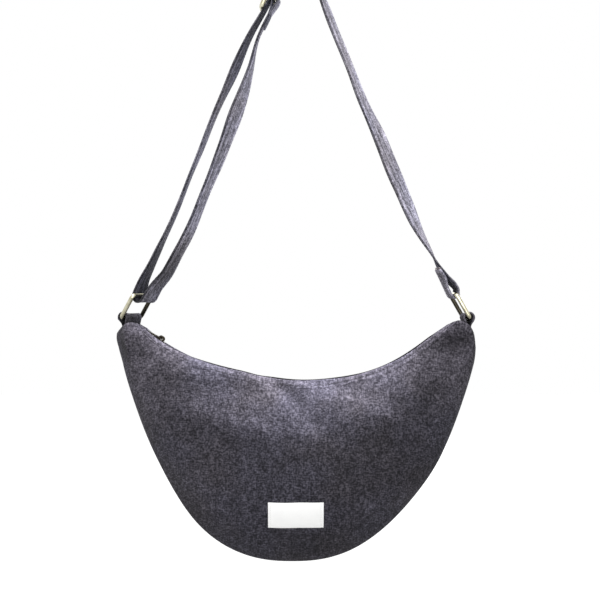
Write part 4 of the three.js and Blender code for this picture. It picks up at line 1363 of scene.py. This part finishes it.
def tail_fray():
    """Loose yarn ends along the raw end of the strap's sewn tail."""
    count = 18
    index = np.arange(count)
    centre, width, face = strap.at(np.full(count, 0.4))
    along = unit(centre - strap.at(np.full(count, 2.4))[0])
    sideways = width * (0.4 * np.sin(index * 2.4))[:, None]
    splayed = unit(along + sideways + face * (0.3 * np.cos(index * 1.7))[:, None])
    across = np.linspace(-11.2, 11.2, count)
    uneven = face * (0.5 * np.sin(index * 3.1))[:, None]
    places = centre + width * across[:, None] + splayed * 0.9 + uneven
    return stitches("strap_tail_fray", places, splayed, square_to(face, splayed), RAW_YARN, None, 3.6, 0.4)


def tail_stitches():
    """Two rows across the tail that hold it to the strap."""
    across = np.tile(np.arange(-9.0, 9.1, 3.0), 2)
    run = np.repeat([7.0, 14.0], len(across) // 2)
    centre, width, face = strap.at(run)
    places = centre + width * across[:, None] + face * 1.0
    return stitches("strap_tail_stitches", places, width, face, GREY_THREAD, None, 2.2, 0.5)


def label_stitches():
    """A row of stitches up each end of the label."""
    inset = 2.3
    places = []
    for x in (LABEL_LEFT + inset, LABEL_RIGHT - inset):
        z = np.arange(LABEL_LOW + 1.6, LABEL_HIGH - 0.8, 2.1)
        depth = front_depth_at(np.full(len(z), x), z)
        places += [(x, -deep - 1.0, level) for level, deep in zip(z, depth)]
    up = np.tile([0.0, 0.0, 1.0], (len(places), 1))
    out = np.tile([0.0, -1.0, 0.0], (len(places), 1))
    return stitches("label_stitches", np.array(places), up, out, WHITE_THREAD, "bag", 1.6, 0.4)


hem_stitches("front_hem_stitches", True)
hem_stitches("back_hem_stitches", False)
for sewn in (tail_fray(), tail_stitches()):
    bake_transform(sewn)
label_stitches()


# Studio: white all round to the camera, a soft overhead key, and a pale floor that keeps the shadow

FLOOR_Z = -0.72
FLOOR_GREY = 0.35
FLOOR_GLOW = 0.66
SKY_STRENGTH = 0.28
BAG_MIDDLE = (0, 0, -0.4)


def white_to_camera(tree):
    """1 for what the camera sees, also in metal and glass, and 0 for the light that falls on the bag."""
    path = add(tree, "ShaderNodeLightPath")
    seen = maths(tree, "MAXIMUM", path.outputs["Is Camera Ray"], path.outputs["Is Glossy Ray"])
    return maths(tree, "MAXIMUM", seen, path.outputs["Is Transmission Ray"])


world = bpy.data.worlds.new("studio")
bpy.context.scene.world = world
world.use_nodes = True
sky = world.node_tree
background = sky.nodes["Background"]
background.inputs["Color"].default_value = (1, 1, 1, 1)
strength = spread(sky, white_to_camera(sky), 0.0, 1.0, SKY_STRENGTH, 1.0)
sky.links.new(strength, background.inputs["Strength"])

begin()
bpy.ops.mesh.primitive_plane_add(size=8, location=(0, 0, FLOOR_Z))
floor = named("studio_floor")
floor_finish, floor_tree, floor_shader = finish_of("studio_floor", {
    "Base Color": (FLOOR_GREY, FLOOR_GREY, FLOOR_GREY, 1), "Roughness": 1.0,
    "Specular IOR Level": 0.0, "Emission Color": (1, 1, 1, 1),
})
glow = maths(floor_tree, "MULTIPLY", white_to_camera(floor_tree), FLOOR_GLOW)
floor_tree.links.new(glow, floor_shader.inputs["Emission Strength"])
floor.data.materials.append(floor_finish)


def light(name, kind, place, target, **settings):
    """A light at a place, aimed at a target."""
    data = bpy.data.lights.new(name, kind)
    for key, value in settings.items():
        setattr(data, key, value)
    lit = bpy.data.objects.new(name, data)
    lit.location = place
    lit.rotation_euler = (Vector(target) - Vector(place)).to_track_quat("-Z", "Y").to_euler()
    bpy.context.scene.collection.objects.link(lit)


light("key_light", "SUN", (-0.3, -0.62, 1.15), (0, 0, 0), energy=2.9, angle=math.radians(24))
light("front_fill", "AREA", (0.25, -2.2, -0.25), BAG_MIDDLE, shape="DISK", size=1.6, energy=30)
light("back_fill", "AREA", (0.4, 2.2, 0.3), BAG_MIDDLE, shape="DISK", size=1.6, energy=26)
